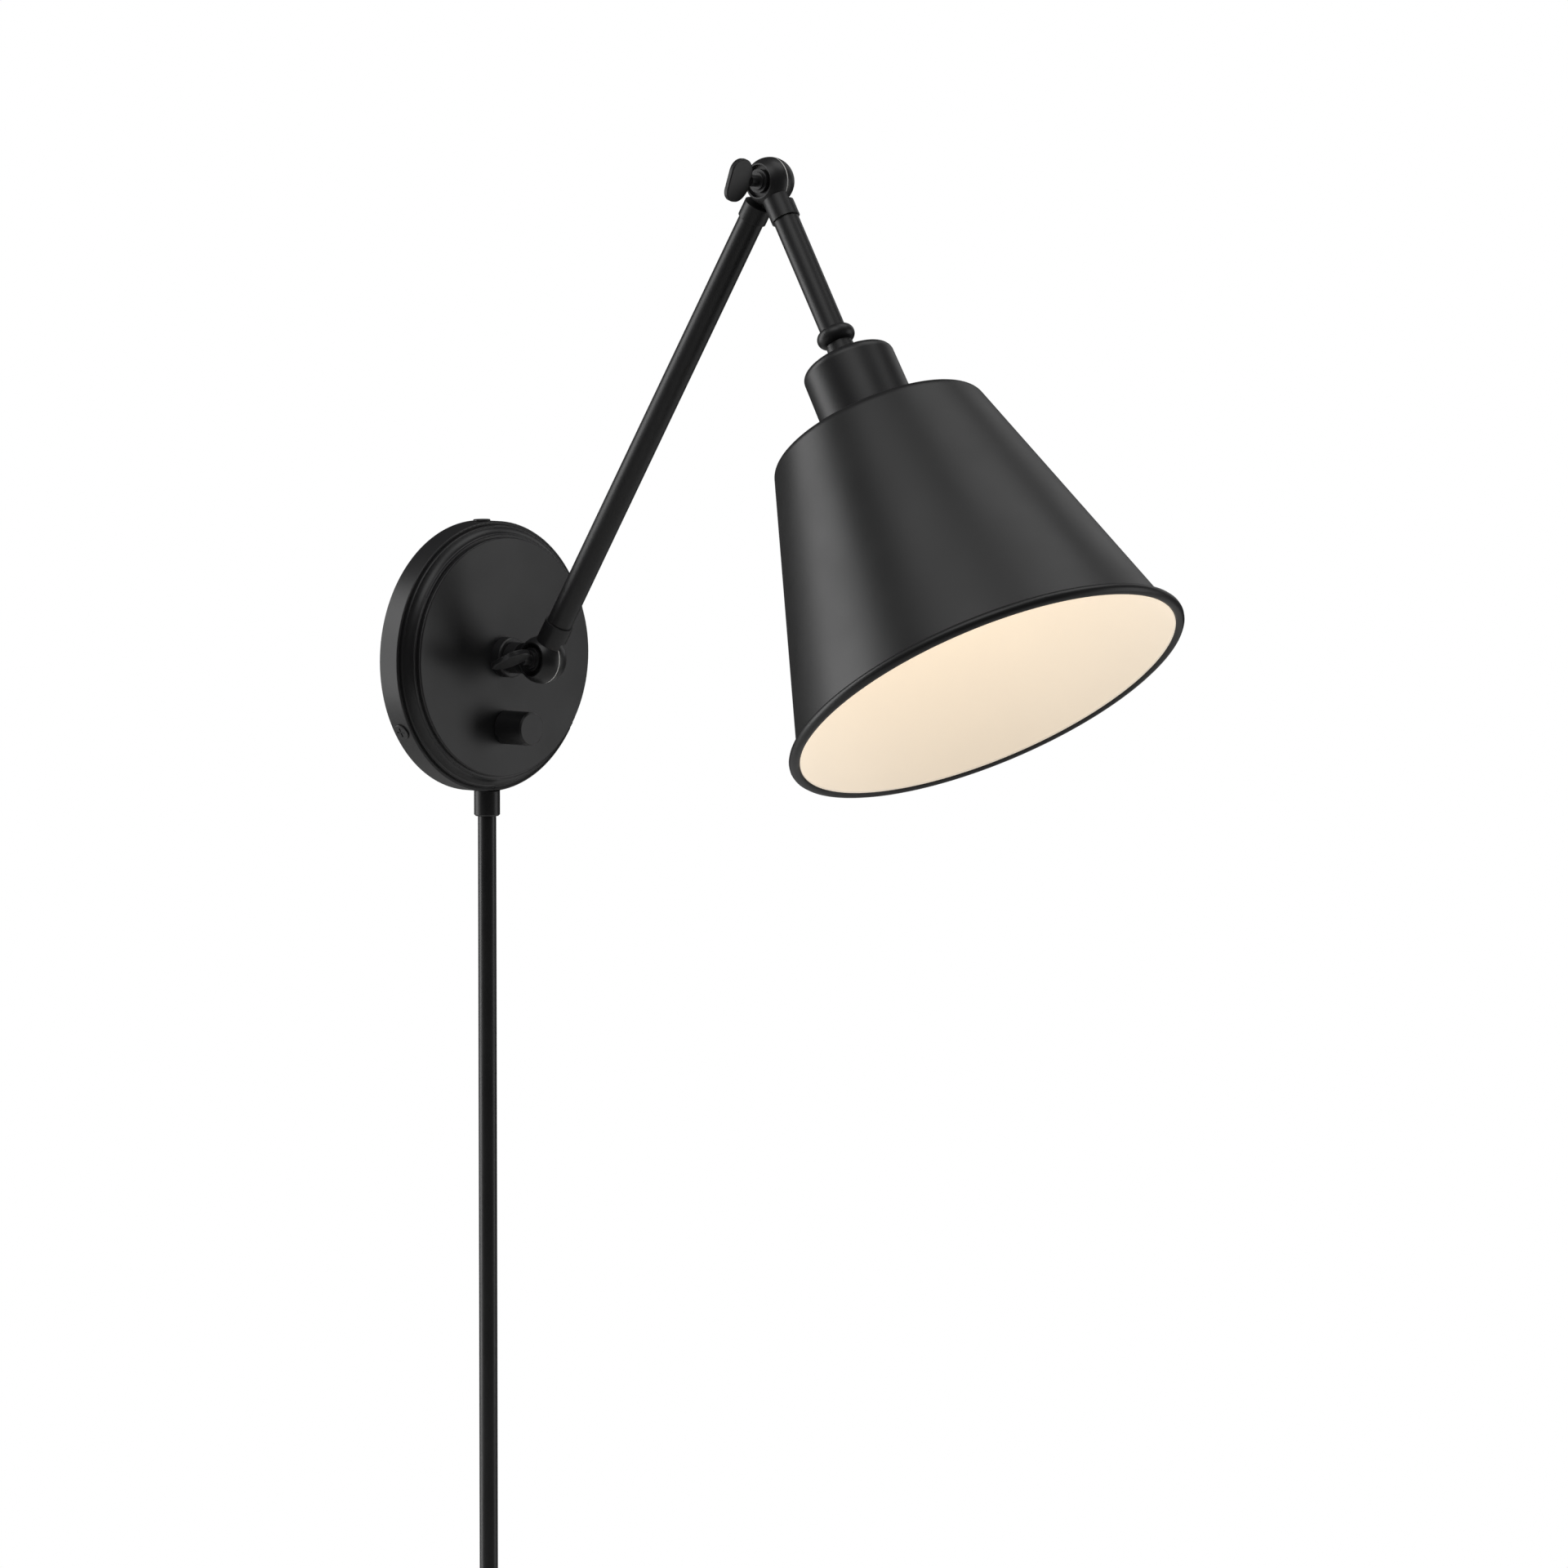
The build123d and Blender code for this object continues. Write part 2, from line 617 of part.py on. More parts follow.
hot_lead = rod_between(
    Vector(-LEAD_OFFSET, -GLAND_DEPTH, lead_start),
    Vector(-LEAD_OFFSET, -GLAND_DEPTH, switch_bottom),
    LEAD_RADIUS,
)
finish(hot_lead, "hot_lead")

neutral_route = [
    (LEAD_OFFSET, -GLAND_DEPTH, lead_start),
    (LEAD_OFFSET, -GLAND_DEPTH, -gland_top + LEAD_BEND),
    (LEAD_SIDE, -GLAND_DEPTH, switch_bottom - LEAD_BEND),
    (LEAD_SIDE, -GLAND_DEPTH, WIRE_NUT_HEIGHT - LEAD_OFFSET),
    (WIRE_NUT_START, -GLAND_DEPTH, WIRE_NUT_HEIGHT - LEAD_OFFSET),
]
finish(round_rod(bent_route(neutral_route, LEAD_BEND), LEAD_RADIUS), "neutral_lead")

stem_lead_start = -(stem_end + LEAD_IN_STEM)
arm_hot_route = [
    (-LEAD_OFFSET, stem_lead_start, 0),
    (-LEAD_OFFSET, -LEAD_DEPTH, 0),
    (-LEAD_OFFSET, -LEAD_DEPTH, switch_top + 4 * LEAD_BEND),
    (-LEAD_OFFSET, -GLAND_DEPTH, switch_top + 2 * LEAD_BEND),
    (-LEAD_OFFSET, -GLAND_DEPTH, switch_top),
]
finish(round_rod(bent_route(arm_hot_route, ARM_LEAD_BEND), LEAD_RADIUS), "arm_hot_lead")

arm_neutral_route = [
    (LEAD_OFFSET, stem_lead_start, 0),
    (LEAD_OFFSET, -LEAD_DEPTH, 0),
    (LEAD_SIDE, -LEAD_DEPTH, WIRE_NUT_HEIGHT + LEAD_OFFSET),
    (WIRE_NUT_START, -LEAD_DEPTH, WIRE_NUT_HEIGHT + LEAD_OFFSET),
]
finish(round_rod(bent_route(arm_neutral_route, ARM_LEAD_BEND), LEAD_RADIUS), "arm_neutral_lead")

with BuildPart() as wire_nut:
    with BuildSketch(Plane(origin=wire_nut_axis, x_dir=OUT, z_dir=X)):
        Circle(WIRE_NUT_RADII[0])
    with BuildSketch(Plane(origin=wire_nut_axis + X * WIRE_NUT_LENGTH, x_dir=OUT, z_dir=X)):
        Circle(WIRE_NUT_RADII[1])
    loft()
finish(wire_nut, "wire_nut")

# Lower arm: near half of the wall knuckle, tube and far half of the elbow

lower_cable = rod_between(
    wall_joint + lower_axis * CABLE_INSET + hinge * (NEAR * CABLE_OFFSET),
    elbow - lower_axis * CABLE_INSET + hinge * (FAR * CABLE_OFFSET),
    CABLE_RADIUS,
)
finish(lower_cable, "lower_cable")

nipple_end = SOCKET_TOP + SOCKET_ROOT
upper_cable = rod_between(
    elbow + upper_axis * CABLE_INSET + hinge * (NEAR * CABLE_OFFSET),
    elbow + upper_axis * (nipple_end - RUNNING_GAP),
    CABLE_RADIUS,
)
finish(upper_cable, "upper_cable")


def arm_knuckle(centre, along, side, cable):
    """Knuckle half that takes an arm tube in its collar, flat where a key bears on it."""
    frame = Plane(origin=centre, x_dir=hinge, z_dir=along)
    with BuildPart() as knuckle:
        add(knuckle_half(centre, along, side, collar_radius, COLLAR_END).part)
        with Locations(frame.offset(TUBE_START)):
            Cylinder(TUBE_RADIUS, COLLAR_END - TUBE_START, align=FROM_BASE, mode=Mode.SUBTRACT)
        add(cable.part, mode=Mode.SUBTRACT)
        if side == NEAR:
            seat = Plane(origin=centre + hinge * (side * KEY_SEAT), z_dir=hinge * side)
            split(bisect_by=seat, keep=Keep.BOTTOM)
            with Locations(seat.offset(-KEY_RECESS)):
                Cylinder(KEY_RECESS_RADIUS, KEY_RECESS, align=FROM_BASE, mode=Mode.SUBTRACT)
    return knuckle


def arm_tube(centre, along, end):
    """Tube that starts in a knuckle's collar and ends at a distance from its centre."""
    with BuildPart() as tube:
        with Locations(Plane(origin=centre, x_dir=hinge, z_dir=along).offset(TUBE_START)):
            Cylinder(TUBE_RADIUS, end - TUBE_START, align=FROM_BASE)
            Cylinder(tube_bore, end - TUBE_START, align=FROM_BASE, mode=Mode.SUBTRACT)
    return tube


def knuckle_washer(centre):
    """Friction washer on the near half, just clear of the far half."""
    near_face = hinge * (NEAR * KNUCKLE_GAP / 2)
    with BuildPart() as washer:
        with BuildSketch(Plane(origin=centre + near_face, x_dir=arm_up, z_dir=hinge)):
            Circle(WASHER_RADIUS)
            Circle(KEY_SHANK_RADIUS + 2 * RUNNING_GAP, mode=Mode.SUBTRACT)
        extrude(amount=KNUCKLE_GAP - RUNNING_GAP)
    return washer


finish(arm_knuckle(wall_joint, lower_axis, NEAR, lower_cable), "lower_knuckle")
finish(knuckle_washer(wall_joint), "lower_washer")
finish(arm_tube(wall_joint, lower_axis, ARM_LENGTH - TUBE_START), "lower_tube")
finish(arm_knuckle(elbow, lower_axis * -1, FAR, lower_cable), "elbow_yoke")

# Upper arm: near half of the elbow, tube, bead and neck

finish(arm_knuckle(elbow, upper_axis, NEAR, upper_cable), "elbow_knuckle")
finish(knuckle_washer(elbow), "elbow_washer")
finish(arm_tube(elbow, upper_axis, TUBE_LOWER_END), "upper_tube")

with BuildPart() as bead_ring:
    with BuildSketch(lathe_plane(elbow, upper_axis)):
        with BuildLine():
            bead_middle = BEAD_START + BEAD_LENGTH / 2
            bead_end = BEAD_START + BEAD_LENGTH
            ThreePointArc((TUBE_RADIUS, BEAD_START), (BEAD_RADIUS, bead_middle), (TUBE_RADIUS, bead_end))
            Line((TUBE_RADIUS, bead_end), (TUBE_RADIUS, BEAD_START))
        make_face()
    revolve(axis=Axis(elbow, upper_axis))
finish(bead_ring, "bead_ring")

with BuildPart() as cup_neck:
    neck_outline = [
        (0, NECK_SPIGOT_START),
        (tube_bore, NECK_SPIGOT_START),
        (tube_bore, TUBE_LOWER_END),
        (NECK_RADIUS, TUBE_LOWER_END),
        (NECK_RADIUS, CUP_TOP - NECK_FLANGE),
        (NECK_FLANGE_RADIUS, CUP_TOP - NECK_FLANGE),
        (NECK_FLANGE_RADIUS, CUP_TOP),
        (NIPPLE_RADIUS, CUP_TOP),
        (NIPPLE_RADIUS, nipple_end),
        (0, nipple_end),
    ]
    add(turned(neck_outline, elbow, upper_axis).part)
    add(upper_cable.part, mode=Mode.SUBTRACT)
finish(cup_neck, "cup_neck")

# Socket cup, lamp socket, shade and bulb

with BuildPart() as socket_cup:
    with BuildSketch(lathe_plane(elbow, upper_axis)) as cup_section:
        with BuildLine():
            Polyline(
                (NIPPLE_RADIUS, CUP_TOP),
                (CUP_RADII[0], CUP_TOP),
                (CUP_RADII[1], SHADE_TOP),
                (CUP_RADII[1] - CUP_WALL, SHADE_TOP),
                (CUP_RADII[0] - CUP_WALL, CUP_TOP + CUP_WALL),
                (NIPPLE_RADIUS, CUP_TOP + CUP_WALL),
                close=True,
            )
        make_face()
        inner_corner = (CUP_RADII[0] - CUP_WALL, CUP_TOP + CUP_WALL)
        fillet(corner_at(cup_section, (CUP_RADII[0], CUP_TOP)), CUP_ROUND)
        fillet(corner_at(cup_section, inner_corner), CUP_ROUND - CUP_WALL)
    revolve(axis=Axis(elbow, upper_axis))
finish(socket_cup, "socket_cup")

cup_nut_base = elbow + upper_axis * (CUP_TOP + CUP_WALL)
cup_nut = hex_nut(cup_nut_base, upper_axis, CUP_NUT_FLATS, NIPPLE_RADIUS, CUP_NUT)
finish(cup_nut, "cup_nut")

socket_body = turned(
    [
        (0, SOCKET_TOP + SOCKET_ROOT),
        (NIPPLE_RADIUS, SOCKET_TOP + SOCKET_ROOT),
        (NIPPLE_RADIUS, SOCKET_TOP),
        (SOCKET_RADIUS, SOCKET_TOP),
        (SOCKET_RADIUS, SOCKET_SKIRT_START),
        (SOCKET_SKIRT_RADIUS, SOCKET_SKIRT_START),
        (SOCKET_SKIRT_RADIUS, SOCKET_END),
        (SHELL_RADIUS, SOCKET_END),
        (SHELL_RADIUS, SOCKET_FLOOR),
        (0, SOCKET_FLOOR),
    ],
    elbow,
    upper_axis,
)
finish(socket_body, "socket_body")

shell_outline = plain_ring(shell_bore, SHELL_RADIUS, SOCKET_FLOOR + CONTACT_HEIGHT, SHELL_END)
finish(turned(shell_outline, elbow, upper_axis), "socket_shell")

contact_end = SOCKET_FLOOR + CONTACT_HEIGHT
contact_outline = plain_ring(0, CONTACT_RADIUS, SOCKET_FLOOR, contact_end)
finish(turned(contact_outline, elbow, upper_axis), "socket_contact")

ring_start = SHADE_TOP + SHADE_WALL
ring_outline = plain_ring(SOCKET_SKIRT_RADIUS, SHADE_RING_RADIUS, ring_start, ring_start + SHADE_RING)
finish(turned(ring_outline, elbow, upper_axis), "shade_ring")

shade_hole = SOCKET_SKIRT_RADIUS + SHADE_HOLE_GAP
shade_taper = (SHADE_RIM_RADIUS - SHADE_TOP_RADIUS) / (SHADE_RIM - SHADE_TOP)
slant_wall = SHADE_WALL * sqrt(1 + shade_taper**2)


def shade_side(distance, wall):
    """Outline point on the shade's side, outside or one wall further in."""
    return (SHADE_TOP_RADIUS + shade_taper * (distance - SHADE_TOP) - wall, distance)


with BuildPart() as shade:
    with BuildSketch(lathe_plane(elbow, upper_axis)) as shade_section:
        with BuildLine():
            Polyline(
                (shade_hole, SHADE_TOP),
                shade_side(SHADE_TOP, 0),
                shade_side(SHADE_RIM, 0),
                shade_side(SHADE_RIM, slant_wall),
                shade_side(ring_start, slant_wall),
                (shade_hole, ring_start),
                close=True,
            )
        make_face()
        inner_corner = shade_side(ring_start, slant_wall)
        fillet(corner_at(shade_section, shade_side(SHADE_TOP, 0)), SHADE_ROUND)
        fillet(corner_at(shade_section, inner_corner), SHADE_ROUND - SHADE_WALL)
        with Locations((SHADE_RIM_RADIUS + RIM_BEAD_OFFSET, SHADE_RIM)):
            Circle(RIM_BEAD_RADIUS)
    revolve(axis=Axis(elbow, upper_axis))
finish(shade, "shade")

bulb_base = turned(
    [
        (0, contact_end),
        (CONTACT_RADIUS - BULB_TIP, contact_end),
        (CONTACT_RADIUS - BULB_TIP, contact_end + BULB_TIP),
        (shell_bore - BULB_TIP, contact_end + BULB_TIP),
        (shell_bore, contact_end + 3 * BULB_TIP),
        (shell_bore, BULB_BASE_END),
        (0, BULB_BASE_END),
    ],
    elbow,
    upper_axis,
)
finish(bulb_base, "bulb_base")


def bulb_solid(inset):
    """Pear shaped body of the bulb, drawn in by an inset."""
    reach = BULB_RADIUS - inset
    neck = BULB_NECK_RADIUS - inset
    neck_end = (neck, BULB_NECK_END)
    tip = (0, BULB_CENTRE + reach)
    low = radians(BULB_SHOULDER_ANGLE)
    high = (pi / 2 - low) / 2
    shoulder = (reach * cos(low), BULB_CENTRE - reach * sin(low))
    crown = (reach * cos(high), BULB_CENTRE + reach * sin(high))
    with BuildPart() as body:
        with BuildSketch(lathe_plane(elbow, upper_axis)):
            with BuildLine():
                Polyline(tip, (0, BULB_BASE_END), (neck, BULB_BASE_END), neck_end)
                Spline(neck_end, shoulder, tangents=((BULB_FLARE, 1), (sin(low), cos(low))))
                ThreePointArc(shoulder, crown, tip)
            make_face()
        revolve(axis=Axis(elbow, upper_axis))
    return body


with BuildPart() as bulb_glass:
    add(bulb_solid(0).part)
    add(bulb_solid(BULB_WALL).part, mode=Mode.SUBTRACT)
finish(bulb_glass, "bulb_glass")

# Thumb keys


def thumb_key(centre, lean):
    """Clamping screw with a stepped shoulder and a flat wing, round on the side of the ball."""
    wing_up = OUT * sin(radians(lean)) + arm_up * cos(radians(lean))
    axis = Plane(origin=centre, x_dir=wing_up, z_dir=hinge * NEAR)
    shoulder_start = KEY_SEAT - KEY_RECESS + FACE_GAP
    collar_start = shoulder_start + KEY_SHOULDER
    wing_start = KEY_SEAT + KEY_COLLAR - WING_ROUND
    wing_centre = centre + hinge * (NEAR * (wing_start + WING_LENGTH / 2))
    with BuildPart() as wing:
        with BuildSketch(Plane(origin=wing_centre, x_dir=wing_up, z_dir=hinge.cross(wing_up))) as paddle:
            Rectangle(WING_HEIGHT, WING_LENGTH / 2, align=(Align.CENTER, Align.MIN))
            fillet(paddle.vertices().sort_by(Axis.Y)[-2:], WING_CORNER)
            Ellipse(WING_HEIGHT / 2, WING_LENGTH / 2)
        extrude(amount=WING_THICKNESS / 2, both=True)
        fillet(wing.faces().sort_by(SortBy.AREA)[-2:].edges(), WING_ROUND)
    with BuildPart() as key:
        with Locations(axis.offset(-KEY_THREAD)):
            Cylinder(KEY_SHANK_RADIUS, KEY_THREAD + shoulder_start, align=FROM_BASE)
        with Locations(axis.offset(shoulder_start)):
            Cylinder(KEY_SHOULDER_RADIUS, KEY_SHOULDER, align=FROM_BASE)
        with Locations(axis.offset(collar_start)):
            Cylinder(KEY_STEP_RADIUS, KEY_STEP, align=FROM_BASE)
            Cylinder(KEY_COLLAR_RADIUS, KEY_SEAT + KEY_COLLAR - collar_start, align=FROM_BASE)
        add(wing.part)
    return key


finish(thumb_key(wall_joint, LOWER_KEY_LEAN), "lower_key")
finish(thumb_key(elbow, UPPER_KEY_LEAN), "upper_key")

# Cord: straight stretch, coil in two layers, tie, tail and plug

cord_route = [
    (0, -GLAND_DEPTH, -gland_end),
    (0, -GLAND_DEPTH, bend_start),
    (-coil_outer, -GLAND_DEPTH, bend_end),
    (-coil_outer, -GLAND_DEPTH, coil_entry),
]


def route_bends(points):
    """Radius of each corner: a share of its shorter run over the tangent of half the turn."""
    corners = [Vector(*point) for point in points]
    bends = []
    for before, corner, after in zip(corners, corners[1:], corners[2:]):
        arriving = corner - before
        leaving = after - corner
        half_turn = radians(arriving.get_angle(leaving)) / 2
        bends.append(BEND_SHARE * min(arriving.length, leaving.length) / tan(half_turn))
    return bends


cord_bends = route_bends(cord_route)
cord_path = bent_route(cord_route, cord_bends)
cord = round_rod(cord_path, CORD_RADIUS)
finish(cord, "cord")


def coil_radius(turn):
    """Middle radius of the strand: it winds inward, climbs a layer and winds outward."""
    inward = min(turn, LAYER_TURNS)
    outward = max(turn - LAYER_TURNS - CLIMB_TURNS, 0)
    return coil_outer - TURN_PITCH * (inward - outward)


def coil_point(turn):
    """Middle of the strand after a number of turns, from nine o'clock downward."""
    angle = pi + 2 * pi * turn
    climbed = min(max((turn - LAYER_TURNS) / CLIMB_TURNS, 0), 1)
    layer = LAYER_PITCH * (1 - cos(pi * climbed)) / 2
    radius = coil_radius(turn)
    return coil_centre + Vector(radius * cos(angle), -layer, radius * sin(angle))


def coil_direction(turn):
    """Direction of the strand, straight down where it enters and leaves the coil."""
    if turn in (0, coil_turns):
        return DOWN
    return (coil_point(turn + DIRECTION_STEP) - coil_point(turn - DIRECTION_STEP)).normalized()


def arc_middle(start, direction, end):
    """Middle of the arc that leaves start in a direction and passes through end."""
    chord = end - start
    sideways = direction - chord * (direction.dot(chord) / chord.dot(chord))
    half_turn = radians(direction.get_angle(chord))
    return (start + end) / 2 + sideways.normalized() * (chord.length / 2 * tan(half_turn / 2))


def biarc(start, leaving, end, arriving):
    """Two arcs, tangent to each other, from one point and direction to another."""
    chord = end - start
    along = chord.dot(leaving + arriving)
    spread = 2 * (1 - leaving.dot(arriving))
    reach = (sqrt(along**2 + spread * chord.dot(chord)) - along) / spread
    middle = (start + end + (leaving - arriving) * reach) / 2
    ThreePointArc(start, arc_middle(start, leaving, middle), middle)
    ThreePointArc(middle, arc_middle(end, arriving * -1, middle), end)


arc_ends = [index / ARCS_PER_TURN for index in range(int(ARCS_PER_TURN * coil_turns) + 1)]
with BuildPart() as cord_coil:
    with BuildLine() as strand:
        Line(coil_point(0) + UP * 2 * CORD_RADIUS, coil_point(0))
        for here, there in zip(arc_ends, arc_ends[1:]):
            biarc(coil_point(here), coil_direction(here), coil_point(there), coil_direction(there))
        Line(coil_point(coil_turns), coil_point(coil_turns) + DOWN * 2 * CORD_RADIUS)
    with BuildSketch(Plane(origin=coil_point(0) + UP * 2 * CORD_RADIUS, x_dir=X, z_dir=DOWN)):
        Circle(CORD_RADIUS)
    sweep(path=strand.wire())
finish(cord_coil, "cord_coil")


def least_gap():
    """Least clear distance between strands that are most of a turn apart."""
    samples = [coil_point(index / GAP_STEPS) for index in range(int(coil_turns * GAP_STEPS) + 1)]
    apart = int(MOST_OF_A_TURN * GAP_STEPS)
    least = min(
        (first - second).length
        for index, first in enumerate(samples)
        for second in samples[index + apart:]
    )
    return least - 2 * CORD_RADIUS


def volume_ratio(piece, length):
    """Volume of a piece of cord against its section times its length."""
    return round(piece.part.volume / (pi * CORD_RADIUS**2 * length), 4)


cord_run = cord_path.length
coil_length = strand.wire().length
tail_length = CORD_LENGTH - cord_run - coil_length
tail_start = coil_point(coil_turns) + DOWN * 2 * CORD_RADIUS
tail_end = tail_start + DOWN * tail_length
finish(rod_between(tail_start, tail_end, CORD_RADIUS), "cord_tail")

top_turns = [turn + TOP_OF_TURN for turn in range(int(coil_turns))]
top_radii = [coil_radius(turn) for turn in top_turns]
tie_low = min(top_radii) - CORD_RADIUS - TIE_SLACK
tie_high = max(top_radii) + CORD_RADIUS + TIE_SLACK
tie_depth = LAYER_PITCH + 2 * (CORD_RADIUS - TIE_SQUEEZE)
tie_centre = coil_centre + OUT * (LAYER_PITCH / 2) + UP * ((tie_low + tie_high) / 2)

with BuildPart() as cord_tie:
    with BuildSketch(Plane(origin=tie_centre, x_dir=OUT, z_dir=X)):
        strap = 2 * TIE_THICKNESS
        RectangleRounded(tie_depth + strap, tie_high - tie_low + strap, 2 * TIE_THICKNESS)
        RectangleRounded(tie_depth, tie_high - tie_low, TIE_THICKNESS, mode=Mode.SUBTRACT)
    extrude(amount=TIE_WIDTH / 2, both=True)
finish(cord_tie, "cord_tie")

with BuildPart() as plug_relief:
    with BuildSketch(Plane(origin=tail_end, x_dir=X, z_dir=DOWN)):
        Circle(PLUG_RELIEF_RADII[0])
    with BuildSketch(Plane(origin=tail_end + DOWN * PLUG_RELIEF, x_dir=X, z_dir=DOWN)):
        Circle(PLUG_RELIEF_RADII[1])
    loft()
finish(plug_relief, "plug_relief")

plug_top = tail_end + DOWN * PLUG_RELIEF
with BuildPart() as plug_body:
    with BuildSketch(Plane(origin=plug_top, x_dir=X, z_dir=DOWN)):
        RectangleRounded(PLUG_WIDTH, PLUG_THICKNESS, PLUG_ROUND)
    extrude(amount=PLUG_LENGTH)
    fillet(plug_body.faces().sort_by(Axis.Z)[-1].edges(), PLUG_ROUND / 2)
finish(plug_body, "plug_body")

with BuildPart() as plug_prongs:
    with BuildSketch(Plane(origin=plug_top + DOWN * PLUG_LENGTH, x_dir=X, z_dir=DOWN)):
        with GridLocations(PRONG_SPACING, 0, 2, 1):
            Rectangle(PRONG_THICKNESS, PRONG_WIDTH)
    extrude(amount=PRONG_LENGTH)
finish(plug_prongs, "plug_prongs")

print("elbow", elbow)
print("cord bend radii", [round(bend, 1) for bend in cord_bends])
print("cord run, coil and tail", round(cord_run, 1), round(coil_length, 1), round(tail_length, 1))
print("cord and coil volume ratios", volume_ratio(cord, cord_run), volume_ratio(cord_coil, coil_length))
print("least gap between turns", round(least_gap(), 2))
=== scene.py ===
# %% [markdown]
# # A swing arm wall sconce in satin black
#
# The lamp hangs on a wall: a round backplate, two arms that hinge on ball knuckles, a tapered
# shade with a rolled rim, a turning knob and a round cord. Its solids come from the packed
# frame, already in place and in metres. This lesson dresses them: it sets the camera, draws
# the cord as one smooth curve, gives each surface its finish and lights the set.

import json
from math import acos, atan2, cos, pi, radians, sin

import bpy
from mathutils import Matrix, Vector


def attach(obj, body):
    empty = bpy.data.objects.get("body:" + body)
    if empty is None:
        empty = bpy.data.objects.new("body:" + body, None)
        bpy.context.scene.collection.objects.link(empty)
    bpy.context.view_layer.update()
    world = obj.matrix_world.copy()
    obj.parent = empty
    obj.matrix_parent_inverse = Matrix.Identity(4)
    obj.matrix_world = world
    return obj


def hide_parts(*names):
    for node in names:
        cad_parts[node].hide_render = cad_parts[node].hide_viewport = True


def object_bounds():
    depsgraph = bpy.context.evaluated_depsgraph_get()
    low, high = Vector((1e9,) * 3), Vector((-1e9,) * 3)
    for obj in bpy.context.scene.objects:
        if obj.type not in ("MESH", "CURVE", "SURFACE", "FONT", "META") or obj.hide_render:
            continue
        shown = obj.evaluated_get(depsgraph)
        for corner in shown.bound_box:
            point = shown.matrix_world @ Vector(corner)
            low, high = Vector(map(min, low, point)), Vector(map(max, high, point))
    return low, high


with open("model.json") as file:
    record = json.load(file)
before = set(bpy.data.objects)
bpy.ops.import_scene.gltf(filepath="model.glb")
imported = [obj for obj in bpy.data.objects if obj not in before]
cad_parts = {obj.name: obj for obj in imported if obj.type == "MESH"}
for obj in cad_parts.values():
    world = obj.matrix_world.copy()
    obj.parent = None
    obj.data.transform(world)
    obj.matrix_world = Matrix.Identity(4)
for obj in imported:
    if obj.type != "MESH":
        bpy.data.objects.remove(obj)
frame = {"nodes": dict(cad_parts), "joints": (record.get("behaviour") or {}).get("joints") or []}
cad_low, cad_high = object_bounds()
scene = bpy.context.scene
nodes = frame["nodes"]
print("solids in the frame:", len(nodes))

# %% [markdown]
# ## The camera
#
# The lamp is seen from the left of the room, a little from above, through a long lens, so
# that parallel edges stay nearly parallel. A camera could be aimed with a constraint, but a
# plain rotation is easier to check: the view direction is worked out from two angles.

# %% Camera
CAMERA_AZIMUTH = radians(-46.9)
CAMERA_ELEVATION = radians(4.6)
CAMERA_PLACE = Vector((-3.5378, -3.5211, 0.3369))
CAMERA_LENS = 229.94
CAMERA_SENSOR = 36.0

toward_camera = Vector((
    sin(CAMERA_AZIMUTH) * cos(CAMERA_ELEVATION),
    -cos(CAMERA_AZIMUTH) * cos(CAMERA_ELEVATION),
    sin(CAMERA_ELEVATION),
))
camera_data = bpy.data.cameras.new("camera")
camera_data.lens = CAMERA_LENS
camera_data.sensor_width = CAMERA_SENSOR
camera = bpy.data.objects.new("camera", camera_data)
camera.location = CAMERA_PLACE
camera.rotation_mode = "QUATERNION"
camera.rotation_quaternion = (-toward_camera).to_track_quat("-Z", "Y")
scene.collection.objects.link(camera)
scene.camera = camera
print("camera looks along", [round(value, 3) for value in -toward_camera])

# %% [markdown]
# ## The cord
#
# A round mains cord is 1.8 m of something heavy and flexible. It leaves the gland under the
# plate, hangs straight down, and the length that isn't needed is wound into a tied coil with
# the plug below it. A tube with bends would look like wire, so the cord is one NURBS curve:
# a few control points for the hanging stretch, then points on a spiral for the coil. The
# radius sits on the points and the bevel is 1 m, so that the curve's box has the true size.

# %% Cord route
CORD_RADIUS = 0.0046
GLAND_DEPTH = 0.0074
GLAND_END = -0.080
STRAIGHT_END = -0.430
BEND_START = -0.505
BEND_END = -0.553
COIL_ENTRY = -0.603
COIL_INNER = 0.038
TURN_PITCH = 0.0112
LAYER_PITCH = 0.011
LAYER_TURNS = 1.75
CLIMB_TURNS = 0.5
TAIL_LENGTH = 0.067
POINTS_PER_TURN = 24

coil_outer = COIL_INNER + TURN_PITCH * LAYER_TURNS
coil_turns = 2 * LAYER_TURNS + CLIMB_TURNS
coil_height = COIL_ENTRY - 2 * CORD_RADIUS


def coil_point(turn):
    """Middle of the strand after some turns: in along one layer, then out along the next."""
    angle = pi + 2 * pi * turn
    inward = min(turn, LAYER_TURNS)
    outward = max(turn - LAYER_TURNS - CLIMB_TURNS, 0)
    climbed = min(max((turn - LAYER_TURNS) / CLIMB_TURNS, 0), 1)
    radius = coil_outer - TURN_PITCH * (inward - outward)
    layer = LAYER_PITCH * (1 - cos(pi * climbed)) / 2
    return (radius * cos(angle), -GLAND_DEPTH - layer, coil_height + radius * sin(angle))


cord_route = [
    (0, -GLAND_DEPTH, GLAND_END),
    (0, -GLAND_DEPTH, STRAIGHT_END),
    (0, -GLAND_DEPTH, BEND_START),
    (-coil_outer, -GLAND_DEPTH, BEND_END),
    (-coil_outer, -GLAND_DEPTH, COIL_ENTRY),
]
cord_route += [coil_point(step / POINTS_PER_TURN) for step in range(int(coil_turns * POINTS_PER_TURN) + 1)]
tail_top = coil_height - 2 * CORD_RADIUS
for height in (tail_top, tail_top - TAIL_LENGTH):
    cord_route.append((-coil_outer, -GLAND_DEPTH - LAYER_PITCH, height))

